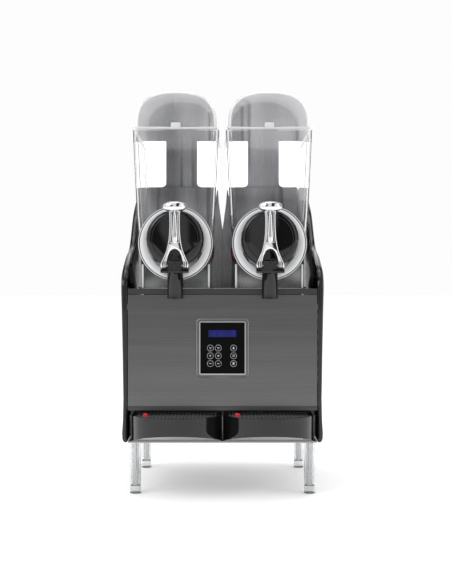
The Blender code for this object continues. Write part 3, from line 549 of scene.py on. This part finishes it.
def soften(shape, width, segments=2, angle=40.0):
    """Round every edge sharper than the angle."""
    limit = math.radians(angle)
    edges = [e for e in shape.edges if len(e.link_faces) == 2 and e.calc_face_angle(0.0) > limit]
    bmesh.ops.bevel(shape, geom=edges, offset=width, segments=segments, profile=0.5,
                    affect="EDGES", material=-1, clamp_overlap=True)


def arch(centre, radius, start, end, steps):
    """Points (across, up) along a circle's arc, in degrees."""
    turns = [math.radians(start + (end - start) * step / steps) for step in range(steps + 1)]
    return [(centre[0] + radius * math.cos(a), centre[1] + radius * math.sin(a)) for a in turns]


def merged_copy(node):
    """An editable copy of an engineered part, with its flat faces whole again."""
    shape = bmesh.new()
    shape.from_mesh(nodes[node].data)
    bmesh.ops.remove_doubles(shape, verts=shape.verts, dist=0.00001)
    bmesh.ops.dissolve_limit(shape, angle_limit=math.radians(0.5), verts=shape.verts,
                             edges=shape.edges)
    return shape


def pull(shape, faces, direction):
    """Extrude faces by a vector and turn all normals outwards."""
    pulled = bmesh.ops.extrude_face_region(shape, geom=faces)["geom"]
    moved = [part for part in pulled if isinstance(part, bmesh.types.BMVert)]
    bmesh.ops.translate(shape, vec=direction, verts=moved)
    bmesh.ops.recalc_face_normals(shape, faces=shape.faces)


# The height of the bowls' axes, and how far each stands from the machine's middle.
AXIS_Z = 0.497
BOWL_OFF = 0.0925
print("bowl centres", -BOWL_OFF, BOWL_OFF, "axis height", AXIS_Z)

# %% [markdown]
# ## Nose rings
# The bowl's front is closed by a round bezel with a satin face. A dark ring round it is painted
# shade for the shadow gap behind the bezel, and a smoky ring further out is painted shade for the
# clear wall's dark edge. A ring is a profile spun once round the bowl's axis. The broad one has a
# rounded lip and the slim one stands outside the dark ring, so two lines of light run along the
# bottom.

# %% Nose rings
# Each profile is a loop of (radius, depth behind the bowl's face) points.
BROAD_RING = [(0.0560, 0.0010), (0.0560, -0.0014), (0.0620, -0.0034), (0.0672, -0.0038),
              (0.0694, -0.0030), (0.0702, -0.0012), (0.0702, 0.0010)]
SLIM_RING = [(0.0716, 0.0030), (0.0716, -0.0016), (0.0722, -0.0024), (0.0729, -0.0020),
             (0.0733, -0.0006), (0.0733, 0.0030)]
# These two dark rings are painted shade: the shadow gap round the bezel and the dark edge of the
# clear wall outside it.
GAP_SHADE_RING = [(0.0700, 0.0010), (0.0700, -0.0007), (0.0718, -0.0007), (0.0718, 0.0010)]
EDGE_SHADE_RING = [(0.0731, 0.0036), (0.0731, 0.0006), (0.0739, 0.0010), (0.0739, 0.0036)]
RING_STEPS = 72


def nose_ring(side, label):
    """The rings round one bowl's nose, which ride with the bowl."""
    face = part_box(f"bowl_{label}")[0].y
    centre = (side * BOWL_OFF, face, AXIS_Z)
    parts = ((f"nose_ring_{label}", (BROAD_RING, SLIM_RING), satin_white, "white_plastic", 50),
             (f"nose_gap_shade_{label}", (GAP_SHADE_RING,), gloss_black, "gloss_black_plastic", 35),
             (f"nose_edge_shade_{label}", (EDGE_SHADE_RING,), smoke_grey, "smoke_grey_plastic", 35))
    for name, profiles, finish, slot, sharp in parts:
        ring = bmesh.new()
        for profile in profiles:
            turn(ring, profile, centre, (0, 1, 0), RING_STEPS, True)
        settle(name, ring, finish, f"bowl_{label}_body", sharp)
    print(label, "nose ring in front of", round(face, 4))


for label, side in SIDES:
    nose_ring(side, label)

# %% [markdown]
# ## Tap levers
# The lever is a polished casting: two arms meet over a pivot fork, and a soft oval pad crowns it.
# The outline is extruded and its rim rounded. The front face is cut level above the fork, and the
# upper part is inset twice, the second time pushed back, which leaves a long hollow. A rib stands
# in the hollow and makes it two grooves. Rib and pad are spheres, squared off and stretched.

# %% Lever parts
# Right-hand outline as (across, up): the fork's inside from the top, then the flank upwards.
LEVER_FORK = [(0.0000, 0.4840), (0.0046, 0.4828), (0.0085, 0.4795), (0.0118, 0.4720),
              (0.0138, 0.4650), (0.0150, 0.4560), (0.0150, 0.4470)]
LEVER_FLANK = [(0.0268, 0.4470), (0.0268, 0.4560), (0.0242, 0.4630), (0.0205, 0.4710),
               (0.0165, 0.4815), (0.0139, 0.4920), (0.0121, 0.5030), (0.0110, 0.5150),
               (0.0104, 0.5300), (0.0104, 0.5480), (0.0112, 0.5600)]
LEVER_BACK = -0.2302
LEVER_THICK = 0.0092
GROOVE_FOOT = 0.4960
# A darker grey for the groove floors: painted shade in the lever's recess.
groove_painted_shade = moulded("lever_groove", (0.16, 0.16, 0.165), 0.22, 1.0, depth=0.000004)


def mirrored(right, ends_on_middle=False):
    """A whole loop from its right half, which starts, and may end, on the middle line."""
    last = -1 if ends_on_middle else None
    return right + [(-across, up) for across, up in reversed(right[1:last])]


def squared_ball(shape, around, upright, power, size, centre, widen):
    """A sphere whose ends are squared off by a power, then stretched and placed."""
    made = bmesh.ops.create_uvsphere(shape, u_segments=around, v_segments=upright,
                                     radius=1.0)["verts"]
    for vert in made:
        vert.co.z = math.copysign(abs(vert.co.z) ** power, vert.co.z)
        vert.co.x *= widen(vert.co.z)
    bmesh.ops.scale(shape, vec=size, verts=made)
    bmesh.ops.translate(shape, vec=centre, verts=made)


def lever_rib(shape, middle):
    """A half-round rib, wider at its foot."""
    squared_ball(shape, 16, 20, 0.55, (0.0036, 0.0026, 0.0330), (middle, -0.2378, 0.5240),
                 lambda up: 1.25 - 0.45 * up)


def lever_pad(shape, middle):
    """The oval finger pad, slightly fuller round its middle."""
    squared_ball(shape, 40, 24, 0.72, (0.0220, 0.0122, 0.0102), (middle, -0.2385, 0.5662),
                 lambda up: 1.0 + 0.05 * (1.0 - abs(up)))


print("lever outline has", len(mirrored(LEVER_FORK + LEVER_FLANK)), "points")


# %% Tap levers
def front_faces(shape, least):
    """The faces that look forward and are larger than an area."""
    return [face for face in shape.faces if face.normal.y < -0.99 and face.calc_area() > least]


def tap_lever(side, label):
    """One lever: its casting, and the pad that stands for the engineered lever."""
    middle = side * BOWL_OFF
    body = f"lever_{label}_body"
    lever = bmesh.new()
    loop = [(middle + across, LEVER_BACK, up) for across, up in mirrored(LEVER_FORK + LEVER_FLANK)]
    pull(lever, [outline_face(lever, loop)], (0, -LEVER_THICK, 0))
    soften(lever, 0.0026, 3, 60)
    face = max(front_faces(lever, 0.0), key=lambda front: front.calc_area())
    bmesh.ops.bisect_plane(lever, geom=[face, *face.edges, *face.verts],
                           plane_co=(0, 0, GROOVE_FOOT), plane_no=(0, 0, 1))
    hollow = max(front_faces(lever, 0.0004), key=lambda front: front.calc_center_median().z)
    bmesh.ops.inset_region(lever, faces=[hollow], thickness=0.0024, depth=0.0)
    bmesh.ops.inset_region(lever, faces=[hollow], thickness=0.0010, depth=-0.0022)
    # The hollow's floor gets the darker groove finish, painted shade for the recess.
    hollow.material_index = 1
    lever_rib(lever, middle)
    settle(f"lever_arm_{label}", lever, [chrome, groove_painted_shade], body, 40)
    pad = bmesh.new()
    lever_pad(pad, middle)
    made = settle(f"lever_pad_{label}", pad, chrome, body, 60)
    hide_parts(f"tap_lever_{label}")
    print(label, "lever pad has", len(made.data.polygons), "faces")


for label, side in SIDES:
    tap_lever(side, label)

# %% [markdown]
# ## Tap covers and brackets
# The black cover has one raised contour that runs just inside its rim. It is an outline face: its
# middle is inset away and the ring that is left is pulled forward. The bracket below is ribbed with
# small slabs, and the spout ends in a lip, which is a profile spun round the spout's axis.

# %% Tap covers
TAP_FACE = -0.2262
SPOUT_BACK = -0.2110
RIB_PLACES = (-0.0225, -0.0185, 0.0, 0.0185, 0.0225)
SPOUT_LIP = [(0.0108, 0.0004), (0.0112, -0.0006), (0.0150, -0.0006), (0.0158, 0.0002),
             (0.0158, 0.0022), (0.0153, 0.0028), (0.0108, 0.0028)]


def cover_contour(middle):
    """A raised line along the cover's pear outline, drawn in from its rim."""
    drawn_in = 0.0105
    crown = arch((0.0, 0.5048), 0.0563 - drawn_in, -34, 90, 22)
    right = [(0.0, 0.4560), (0.0250 - drawn_in, 0.4560), (0.0300 - drawn_in, 0.4625)] + crown
    loop = [(middle + across, TAP_FACE + 0.0004, up) for across, up in mirrored(right, True)]
    bead = bmesh.new()
    face = outline_face(bead, loop)
    bmesh.ops.recalc_face_normals(bead, faces=bead.faces)
    ring = bmesh.ops.inset_region(bead, faces=[face], thickness=0.0017, use_boundary=True,
                                  use_even_offset=True)["faces"]
    bmesh.ops.delete(bead, geom=[face], context="FACES")
    pull(bead, ring, (0, -0.0014, 0))
    soften(bead, 0.0005, 2, 60)
    return bead


def bracket_ribs(middle):
    """Five upright ribs, the middle one taller, over a level bar."""
    ribs = bmesh.new()
    for across in RIB_PLACES:
        top = 0.4600 if across else 0.4690
        slab(ribs, (middle + across - 0.0011, TAP_FACE - 0.0158, 0.4432),
             (middle + across + 0.0011, TAP_FACE + 0.0010, top))
    slab(ribs, (middle - 0.0272, TAP_FACE - 0.0160, 0.4380),
         (middle + 0.0272, TAP_FACE - 0.0146, 0.4452))
    soften(ribs, 0.0004, 2, 60)
    return ribs


def spout_lip(middle, low):
    """The rounded lip under the spout."""
    lip = bmesh.new()
    turn(lip, SPOUT_LIP, (middle, SPOUT_BACK, low), (0, 0, 1), 40, True)
    return lip


for label, side in SIDES:
    middle = side * BOWL_OFF
    trims = {"cover_contour": cover_contour(middle), "bracket_ribs": bracket_ribs(middle),
             "spout_lip": spout_lip(middle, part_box(f"tap_body_{label}")[0].z)}
    for name, shape in trims.items():
        settle(f"{name}_{label}", shape, gloss_black, f"bowl_{label}_body")
    print(label, "cover trimmed with", ", ".join(trims))

# %% [markdown]
# ## Bowl skirts
# Below the round nose the clear moulding goes on down to the deck as a shallow curtain with a
# bright rib at each end. A thin plate, cut to the nose's circle, gives the hazy grey there.

# %% Bowl skirts
SKIRT_HALF = 0.0655
SKIRT_FOOT = 0.4088
SKIRT_BACK = -0.1740


def bowl_skirt(side, label):
    """The curtain under one nose, and the ribs at its ends."""
    middle = side * BOWL_OFF
    curtain = bmesh.new()
    loop = [(SKIRT_HALF, SKIRT_FOOT), (-SKIRT_HALF, SKIRT_FOOT)]
    for across, up in arch((0.0, AXIS_Z), 0.0722, -154, -26, 24):
        loop.append((max(-SKIRT_HALF, min(SKIRT_HALF, across)), up))
    face = outline_face(curtain, [(middle + across, SKIRT_BACK, up) for across, up in loop])
    pull(curtain, [face], (0, -0.0016, 0))
    settle(f"skirt_curtain_{label}", curtain, skirt_haze, f"bowl_{label}_body")
    ends = bmesh.new()
    for edge in (middle - SKIRT_HALF, middle + SKIRT_HALF):
        slab(ends, (edge - 0.0021, SKIRT_BACK - 0.0060, SKIRT_FOOT),
             (edge + 0.0021, SKIRT_BACK + 0.0018, 0.4560))
    soften(ends, 0.0009, 3, 60)
    settle(f"skirt_ribs_{label}", ends, bright_clear, f"bowl_{label}_body")
    print(label, "skirt outline has", len(loop), "points")


def skirt_finish():
    """Hazy clear plastic with a soft smoky gradient."""
    finish = Finish("hazy_clear_skirt", IOR=1.45)
    cloud = finish.noise(0.060, (1.0, 1.0, 2.2), 0.0)
    smoke, clear = (0.075, 0.075, 0.078), (0.34, 0.345, 0.35)
    finish.set("Alpha", (0.50 + cloud * 0.2).clamp())
    return finish.done(finish.blend((cloud - 0.25) * 2.0, smoke, clear), 0.10 + cloud * 0.10)


skirt_haze = skirt_finish()
bright_clear = moulded("bright_clear_edge", (0.50, 0.505, 0.515), 0.10, depth=0.000004)
for label, side in SIDES:
    bowl_skirt(side, label)

# %% [markdown]
# ## Lid fronts
# The lid's rim has a bright level line, a painted highlight, and a rounded clear catch stands in
# its middle. The line is a slim softened pale bar on the straight stretch of the rim. The catch is
# a softened block in the same pale finish, with its highlight painted in.

# %% Lid rim lines and catches
def lid_front(side, label):
    """The painted highlight line and the catch on one lid, placed from the lid's front lower
    corner.
    """
    middle = side * BOWL_OFF
    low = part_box(f"lid_{label}")[0]
    line = bmesh.new()
    slab(line, (middle - 0.0790, low.y + 0.0032, low.z + 0.0016),
         (middle + 0.0790, low.y + 0.0046, low.z + 0.0048))
    soften(line, 0.0005, 2, 60)
    settle(f"lid_rim_painted_highlight_{label}", line, pale_clear_and_painted_highlight, f"lid_{label}_body")
    catch = bmesh.new()
    slab(catch, (middle - 0.0095, low.y, low.z + 0.0008),
         (middle + 0.0095, low.y + 0.0060, low.z + 0.0140))
    soften(catch, 0.0026, 4, 60)
    settle(f"lid_catch_{label}", catch, pale_clear_and_painted_highlight, f"lid_{label}_body")
    print(label, "lid front at", round(low.y, 4))


# This pale finish is a painted highlight on the rim line, and on the catch it is the pale clear
# part with its highlight painted in.
pale_clear_and_painted_highlight = moulded("pale_clear_edge", (0.46, 0.465, 0.475), 0.10, depth=0.000004)
for label, side in SIDES:
    lid_front(side, label)

# %% [markdown]
# ## Springs and seal
# Each tap has a spring over its piston, which shortens as the lever is pressed. The piece that
# stands for it is a smooth copy of the engineered spring, and the share of its length that is left
# at full travel is printed. A slim black seal closes the joint between the two towers.

# %% Tap springs and the seal between the towers
for label, side in SIDES:
    low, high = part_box(f"tap_spring_{label}")
    travel = joints[f"tap_piston_lift_{label}"]["range_m"][1]
    length = high.z - low.z
    coil = settle(f"tap_coil_{label}", merged_copy(f"tap_spring_{label}"), steel,
                  f"bowl_{label}_body", 40)
    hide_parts(f"tap_spring_{label}")
    (length - travel) / length
    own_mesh(coil)
    print(label, "spring keeps", round((length - travel) / length, 3), "of its length")

seal = bmesh.new()
slab(seal, (-0.0006, 0.1690, 0.4085), (0.0006, 0.2610, 0.5420))
soften(seal, 0.0002, 1, 60)
settle("tower_seal", seal, gloss_black, "root")
print("tower seal settled")

# %% [markdown]
# ## Keypad
# The keypad is a black window in a raised frame with two pale lines. The frame starts as one face
# with round corners. Three insets at different depths make its steps, and the middle is removed.

# %% Keypad frame
def rounded_face(shape, centre, half, corner, depth):
    """A face with round corners, facing forward."""
    across, up = centre
    corners = [(across - half[0], depth, up - half[1]), (across + half[0], depth, up - half[1]),
               (across + half[0], depth, up + half[1]), (across - half[0], depth, up + half[1])]
    face = outline_face(shape, corners)
    bmesh.ops.bevel(shape, geom=list(face.verts), offset=corner, segments=8, profile=0.5,
                    affect="VERTICES", material=-1)
    shape.faces.ensure_lookup_table()
    return shape.faces[-1]


# Each step is (width, rise, finish): 0 is the dark steel and 1 the pale line.
FRAME_STEPS = ((0.0009, 0.0006, 1), (0.0042, -0.0003, 0), (0.0024, 0.0006, 1))
FRAME_CORNER = 0.0078
FRAME_INSIDE = 0.0003
pale_line = moulded("pale_frame_line", (0.30, 0.30, 0.305), 0.32, 0.7, depth=0.000004)


def keypad_frame():
    """The stepped frame on the keypad's housing."""
    low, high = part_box("keypad_housing")
    middle, half = (low + high) / 2, (high - low) / 2
    rim = bmesh.new()
    face = rounded_face(rim, (middle.x, middle.z), (half.x - FRAME_INSIDE, half.z - FRAME_INSIDE),
                        FRAME_CORNER, low.y - 0.0002)
    rim.normal_update()
    if face.normal.y > 0:
        bmesh.ops.reverse_faces(rim, faces=[face])
        rim.normal_update()
    for width, rise, finish in FRAME_STEPS:
        ring = bmesh.ops.inset_region(rim, faces=[face], thickness=width, depth=rise,
                                      use_boundary=True, use_even_offset=True)
        for part in ring["faces"]:
            part.material_index = finish
    bmesh.ops.delete(rim, geom=[face], context="FACES")
    settle("keypad_frame", rim, [dark_steel, pale_line], "root", 20)
    print("keypad frame", [round(value, 4) for value in (*low, *high)])


keypad_frame()

# %% [markdown]
# A film covers the housing and the keys, so they share one nearly black finish. The display behind
# it is a blue backlit bar. A Brick texture with no offset gives its faint, blank character cells.

# %% Keypad film and display
def overlay():
    """Black film behind the keys, with the display's dark surround."""
    finish = Finish("keypad_film", IOR=1.12)
    cloud = finish.noise(0.03)
    fine = finish.noise(0.0004, detail=1.0)
    colour = finish.blend(cloud, (0.0018, 0.0018, 0.0021), (0.0035, 0.0035, 0.004))
    return finish.done(colour, 0.30 + cloud * 0.1, fine, 0.00002, 0.3)


def display():
    """Blue backlit bar with a faint row of character cells."""
    finish = Finish("blue_display", IOR=1.3, Emission_Strength=0.32, Roughness=0.25)
    cells = finish.node("ShaderNodeTexBrick", {"offset": 0.0}, {
        "Vector": finish.place(), "Scale": 1.0, "Color1": (0, 0, 0, 1), "Color2": (1, 1, 1, 1),
        "Mortar": (0, 0, 0, 1), "Mortar Size": 0.0006, "Brick Width": 0.0034,
        "Row Height": 0.0060})
    glow = finish.noise(0.012, (1, 1, 0.2), 1.0)
    lit = (glow - 0.48).clamp() * 2.2 * finish.lightness(cells)
    finish.set("Base Color", finish.blend(glow, (0.002, 0.003, 0.03), (0.003, 0.005, 0.06)))
    finish.set("Emission Color", finish.blend(lit, (0.006, 0.008, 0.21), (0.05, 0.09, 0.62)))
    return finish.material


KEYS = range(1, 10)
keypad_film = overlay()
blue_display = display()
for name in ("keypad_housing", *[f"key_{number}" for number in KEYS]):
    nodes[name].data.materials[0] = keypad_film
nodes["display_window"].data.materials[0] = blue_display
print("keypad film on the housing and", len(KEYS), "keys")

# %% [markdown]
# ## Key prints
# Each key is printed with a ring and a simple sign in it: paddles, plus, minus, a drop, a circle
# arrow and a lamp. Flat prints need no more than thin shapes that stand a tenth of a millimetre off
# their key, and they ride on that key. Rings are spun, bars are slabs and spots are circles.

# %% Print shapes
PRINT = 0.00012


def ring_print(shape, centre, depth, outer, inner, steps=40):
    """A flat printed ring."""
    profile = [(inner, 0.0), (inner, -PRINT), (outer, -PRINT), (outer, 0.0)]
    turn(shape, profile, (centre[0], depth, centre[1]), (0, 1, 0), steps, True)


def bar_print(shape, centre, depth, length, width, degrees=0.0):
    """A flat printed bar, turned about its middle."""
    made = slab(shape, (-length / 2, -PRINT, -width / 2), (length / 2, 0.0, width / 2))
    spin = Matrix.Rotation(math.radians(degrees), 4, "Y")
    place = Matrix.Translation((centre[0], depth, centre[1]))
    bmesh.ops.transform(shape, verts=made, matrix=place @ spin)


def dot_print(shape, centre, depth, radius, squeeze=1.0):
    """A flat printed spot."""
    made = bmesh.ops.create_circle(shape, cap_ends=True, radius=radius, segments=20)["verts"]
    flat = Matrix.Rotation(math.radians(90), 4, "X")
    tall = Matrix.Diagonal((1.0, 1.0, squeeze, 1.0))
    place = Matrix.Translation((centre[0], depth - PRINT, centre[1]))
    bmesh.ops.transform(shape, verts=made, matrix=place @ tall @ flat)


print("prints stand", PRINT * 1000, "mm off their keys")


# %% Key signs
def sign(shape, number, centre, depth):
    """The sign of one key."""
    across, up = centre
    if number in (1, 2):
        for degrees in (20, 140, 260):
            angle = math.radians(degrees)
            tip = (across + 0.0014 * math.cos(angle), up + 0.0014 * math.sin(angle))
            bar_print(shape, tip, depth, 0.0026, 0.0010, -degrees)
        dot_print(shape, (across, up), depth, 0.0006)
    elif number == 3:
        dot_print(shape, (across, up - 0.0004), depth, 0.0017, 1.1)
        bar_print(shape, (across + 0.0003, up + 0.0016), depth, 0.0018, 0.0009, 60)
    elif number in (4, 5):
        bar_print(shape, (across, up), depth, 0.0042, 0.0011)
        bar_print(shape, (across, up), depth, 0.0042, 0.0011, 90)
    elif number == 6:
        ring_print(shape, (across, up), depth, 0.0023, 0.0016, 24)
        bar_print(shape, (across + 0.0020, up + 0.0014), depth, 0.0016, 0.0008, 40)
    elif number in (7, 8):
        bar_print(shape, (across, up), depth, 0.0044, 0.0012)
    else:
        dot_print(shape, (across, up + 0.0006), depth, 0.0019, 1.15)
        bar_print(shape, (across, up - 0.0016), depth, 0.0040, 0.0010)


def key_print(number):
    """The ring and the sign on one key."""
    low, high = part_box(f"key_{number}")
    centre = ((low.x + high.x) / 2, (low.z + high.z) / 2)
    marks = bmesh.new()
    ring_print(marks, centre, low.y, 0.0062, 0.0057)
    sign(marks, number, centre, low.y)
    settle(f"key_print_{number}", marks, white_print, f"key_{number}_body", 60)


for number in KEYS:
    key_print(number)
print(len(KEYS), "keys printed")

# %% [markdown]
# ## Smooth skins
# The engineered tap covers and trays are loose flat triangles. Curved glossy walls need shared,
# smooth vertices to reflect well, so each gets a merged copy in its place. The smoothing stops at
# edges sharper than a set angle. The clear bowls keep their flat faces, because a smoothed normal
# on a long triangle bends what is seen through it.

# %% Smooth skins
def smooth_skin(node, name, body, sharp):
    """Replace an engineered part with a smooth glossy copy of itself."""
    made = settle(name, merged_copy(node), gloss_black, body, sharp)
    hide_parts(node)
    return len(made.data.polygons)


for label, side in SIDES:
    faces = smooth_skin(f"tap_body_{label}", f"tap_cover_{label}", f"bowl_{label}_body", 36)
    faces += smooth_skin(f"drip_tray_{label}", f"tray_shell_{label}", f"tray_{label}_body", 30)
    print(label, "smooth skins use", faces, "faces")

# %% [markdown]
# ## Side panels
# The real panels are moulded shells with soft edges. They narrow a little towards the trays and
# flare again at the foot. The engineered panel has the right outline, so a copy of it is merged,
# cut level at a few heights, drawn in between them, and its outer rim is rounded.

# %% Side shells
# How far the outer face comes in at each height.
DRAWN_IN = ((0.104, 0.0050), (0.112, 0.0022), (0.122, 0.0016), (0.150, 0.0034), (0.190, 0.0042),
            (0.280, 0.0030), (0.360, 0.0012), (0.410, 0.0), (0.620, 0.0))
SHELL_INNER = 0.187
SHELL_WALL = 0.013
shell_black = moulded("side_shell_black", (0.005, 0.005, 0.0055), 0.13, grain=0.0012,
                      depth=0.000012, drift=0.05, IOR=1.46)


def draw_in(up):
    """The draw at any height, straight between the listed ones."""
    for (low, first), (high, second) in zip(DRAWN_IN, DRAWN_IN[1:]):
        if up <= high:
            share = min(1.0, max(0.0, (up - low) / (high - low)))
            return first + (second - first) * share
    return 0.0


def side_shell(side, label):
    """One panel's shell, made from the engineered panel."""
    node = f"side_panel_{label}"
    low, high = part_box(node)
    outer = high.x if side > 0 else low.x
    shell = merged_copy(node)
    for height, _ in DRAWN_IN[1:-1]:
        bmesh.ops.bisect_plane(shell, geom=[*shell.verts, *shell.edges, *shell.faces],
                               plane_co=(0, 0, height), plane_no=(0, 0, 1), dist=0.00001)
    rim = []
    for edge in shell.edges:
        on_face = all(abs(vert.co.x - outer) < 0.0002 for vert in edge.verts)
        if on_face and len(edge.link_faces) == 2 and edge.calc_face_angle(0.0) > math.radians(40):
            rim.append(edge)
    bmesh.ops.bevel(shell, geom=rim, offset=0.0068, segments=5, profile=0.5, affect="EDGES",
                    material=-1, clamp_overlap=True)
    for vert in shell.verts:
        beyond = abs(vert.co.x) - SHELL_INNER
        if beyond > 0.001:
            vert.co.x -= side * draw_in(vert.co.z) * beyond / SHELL_WALL
    made = settle(f"side_shell_{label}", shell, shell_black, "root", 30)
    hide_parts(node)
    print(label, "shell has", len(made.data.polygons), "faces")


for label, side in SIDES:
    side_shell(side, label)

# %% [markdown]
# ## Drip grids
# The loose grid is a thin plate with rows of small slots. A flat grid of faces is trimmed by the
# tray's outline, one straight cut for each side of it. Each whole cell is inset, its middle is
# deleted, and the sheet that is left gets its thickness. The cells over the float are left out.

# %% The tray's plan
TRAY_OFF = 0.0901
TRAY_HALF = 0.0889
TRAY_NOSE = -0.270
TRAY_SHOULDER = -0.200
TRAY_REAR = -0.116


def tray_plan(inset):
    """Corners of the tray's plan about its own middle: a straight rear and a round front."""
    half, nose, rear = TRAY_HALF - inset, TRAY_NOSE + inset, TRAY_REAR - inset
    bulge = TRAY_SHOULDER - nose
    radius = (half * half + bulge * bulge) / (2 * bulge)
    spread = math.degrees(math.asin(half / radius))
    return [(half, rear), (-half, rear)] + arch((0.0, nose + radius), radius, -90 - spread,
                                               -90 + spread, 16)


def trim_to(shape, corners):
    """Cut away everything outside a convex outline."""
    for first, second in zip(corners, corners[1:] + corners[:1]):
        along = Vector((second[0] - first[0], second[1] - first[1], 0.0))
        outward = Vector((along.y, -along.x, 0.0))
        bmesh.ops.bisect_plane(shape, geom=[*shape.verts, *shape.edges, *shape.faces],
                               plane_co=(*first, 0.0), plane_no=outward, clear_outer=True,
                               dist=0.000005)


print("tray plan has", len(tray_plan(0.0)), "corners")

# %% Drip grids
SLOT_COLUMNS, SLOT_ROWS = 24, 28
SLOT_WIDE, SLOT_DEEP = 0.0072, 0.0054
SLOT_BAR = 0.0012
PLATE = 0.0014
FLOAT_PLACE = Vector((-0.061, -0.203))
FLOAT_HOLE = 0.0080
grid_black = moulded("grid_black", (0.010, 0.010, 0.011), 0.18, depth=0.000006)
# Pale slot walls are a painted highlight: the bright reflections seen through the slots.
slot_edge = moulded("slot_edge", (0.30, 0.30, 0.30), 0.25, 0.6, depth=0.000006)


def slotted_grid(side, label):
    """One loose grid, whose slot walls are painted pale as highlights."""
    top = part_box(f"drip_grid_{label}")[1].z
    sheet = bmesh.new()
    bmesh.ops.create_grid(sheet, x_segments=SLOT_COLUMNS, y_segments=SLOT_ROWS, size=0.5)
    spread = Matrix.Diagonal((SLOT_COLUMNS * SLOT_WIDE, SLOT_ROWS * SLOT_DEEP, 1, 1))
    place = Matrix.Translation((0.0, -0.190, 0.0)) @ spread
    bmesh.ops.transform(sheet, matrix=place, verts=sheet.verts)
    trim_to(sheet, tray_plan(0.0031))
    hole = [face for face in sheet.faces
            if (face.calc_center_median().xy - FLOAT_PLACE).length < FLOAT_HOLE]
    bmesh.ops.delete(sheet, geom=hole, context="FACES")
    whole = [face for face in sheet.faces if face.calc_area() > SLOT_WIDE * SLOT_DEEP * 0.98]
    bmesh.ops.inset_individual(sheet, faces=whole, thickness=SLOT_BAR)
    bmesh.ops.delete(sheet, geom=whole, context="FACES")
    bmesh.ops.translate(sheet, vec=(side * TRAY_OFF, 0.0, top - PLATE), verts=sheet.verts)
    pull(sheet, sheet.faces[:], (0, 0, PLATE))
    for face in sheet.faces:
        # Slot walls take the pale finish, a painted highlight.
        face.material_index = 0 if abs(face.normal.z) > 0.5 else 1
    made = settle(f"slotted_grid_{label}", sheet, [grid_black, slot_edge], f"grid_{label}_body",
                  30)
    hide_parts(f"drip_grid_{label}")
    print(label, "grid slots", len(whole), "triangles about", len(made.data.polygons) * 2)


def tray_rim(side, label):
    """A rounded bead along the tray's top edge."""
    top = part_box(f"drip_tray_{label}")[1].z
    bead = bmesh.new()
    loop = [(side * TRAY_OFF + across, back, top - 0.0004) for across, back in tray_plan(0.0)]
    face = outline_face(bead, loop)
    bead.normal_update()
    bmesh.ops.inset_region(bead, faces=[face], thickness=0.0026, use_boundary=True,
                           use_even_offset=True)
    bmesh.ops.delete(bead, geom=[face], context="FACES")
    pull(bead, bead.faces[:], (0, 0, 0.0014))
    soften(bead, 0.0005, 2, 50)
    settle(f"tray_rim_{label}", bead, gloss_black, f"tray_{label}_body")


for label, side in SIDES:
    slotted_grid(side, label)
    tray_rim(side, label)

# %% [markdown]
# ## Legs
# Each leg is a tapered clear sleeve round a smaller clear tube, and its foot screws in below a
# fine gap. Hollow walls matter: light bends at each one, and that draws the upright dark lines. All
# of it is spun from profiles, with a thin dark pad under the foot.

# %% Legs
# Profiles of (radius, height). The sleeve and the tube run up to the top of the leg.
LEG_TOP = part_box(next(name for name in nodes if name.startswith("leg_")))[1].z
LEG_SLEEVE = [(0.0127, LEG_TOP), (0.0108, 0.0170), (0.0088, 0.0170), (0.0104, LEG_TOP)]
LEG_TUBE = [(0.0072, LEG_TOP), (0.0060, 0.0185), (0.0048, 0.0185), (0.0058, LEG_TOP)]
LEG_FOOT = [(0.0107, 0.0154), (0.0111, 0.0034), (0.0111, 0.0016), (0.0092, 0.0016),
            (0.0090, 0.0154)]
LEG_PAD = [(0.0, 0.0), (0.0104, 0.0), (0.0112, 0.0006), (0.0113, 0.0014), (0.0108, 0.0020),
           (0.0, 0.0020)]
LEG_COLLAR = [(0.0094, 0.0156), (0.0094, 0.0168), (0.0103, 0.0168), (0.0103, 0.0156)]


def leg_piece(name, centre, profiles, finish):
    """Round shapes about one leg's axis, each (profile, steps, closed)."""
    shape = bmesh.new()
    for profile, steps, closed in profiles:
        turn(shape, profile, centre, (0, 0, 1), steps, closed)
    return settle(name, shape, finish, "root", 40)


def clear_leg(node):
    """The clear leg, its pad and the dark collar in its gap."""
    low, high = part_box(node)
    centre = ((low.x + high.x) / 2, (low.y + high.y) / 2, 0.0)
    name = node.replace("leg_", "")
    clear = ((LEG_SLEEVE, 40, True), (LEG_TUBE, 32, True), (LEG_FOOT, 40, True))
    made = leg_piece(f"leg_sleeve_{name}", centre, clear, leg_clear)
    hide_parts(node)
    for part, profile, closed in (("pad", LEG_PAD, False), ("collar", LEG_COLLAR, True)):
        leg_piece(f"leg_{part}_{name}", centre, ((profile, 40, closed),), smoke_grey)


legs = [name for name in nodes if name.startswith("leg_")]
for node in legs:
    clear_leg(node)
print("legs made:", len(legs))

# %% [markdown]
# ## Sizes
# The finished looks must stay inside the engineered box.
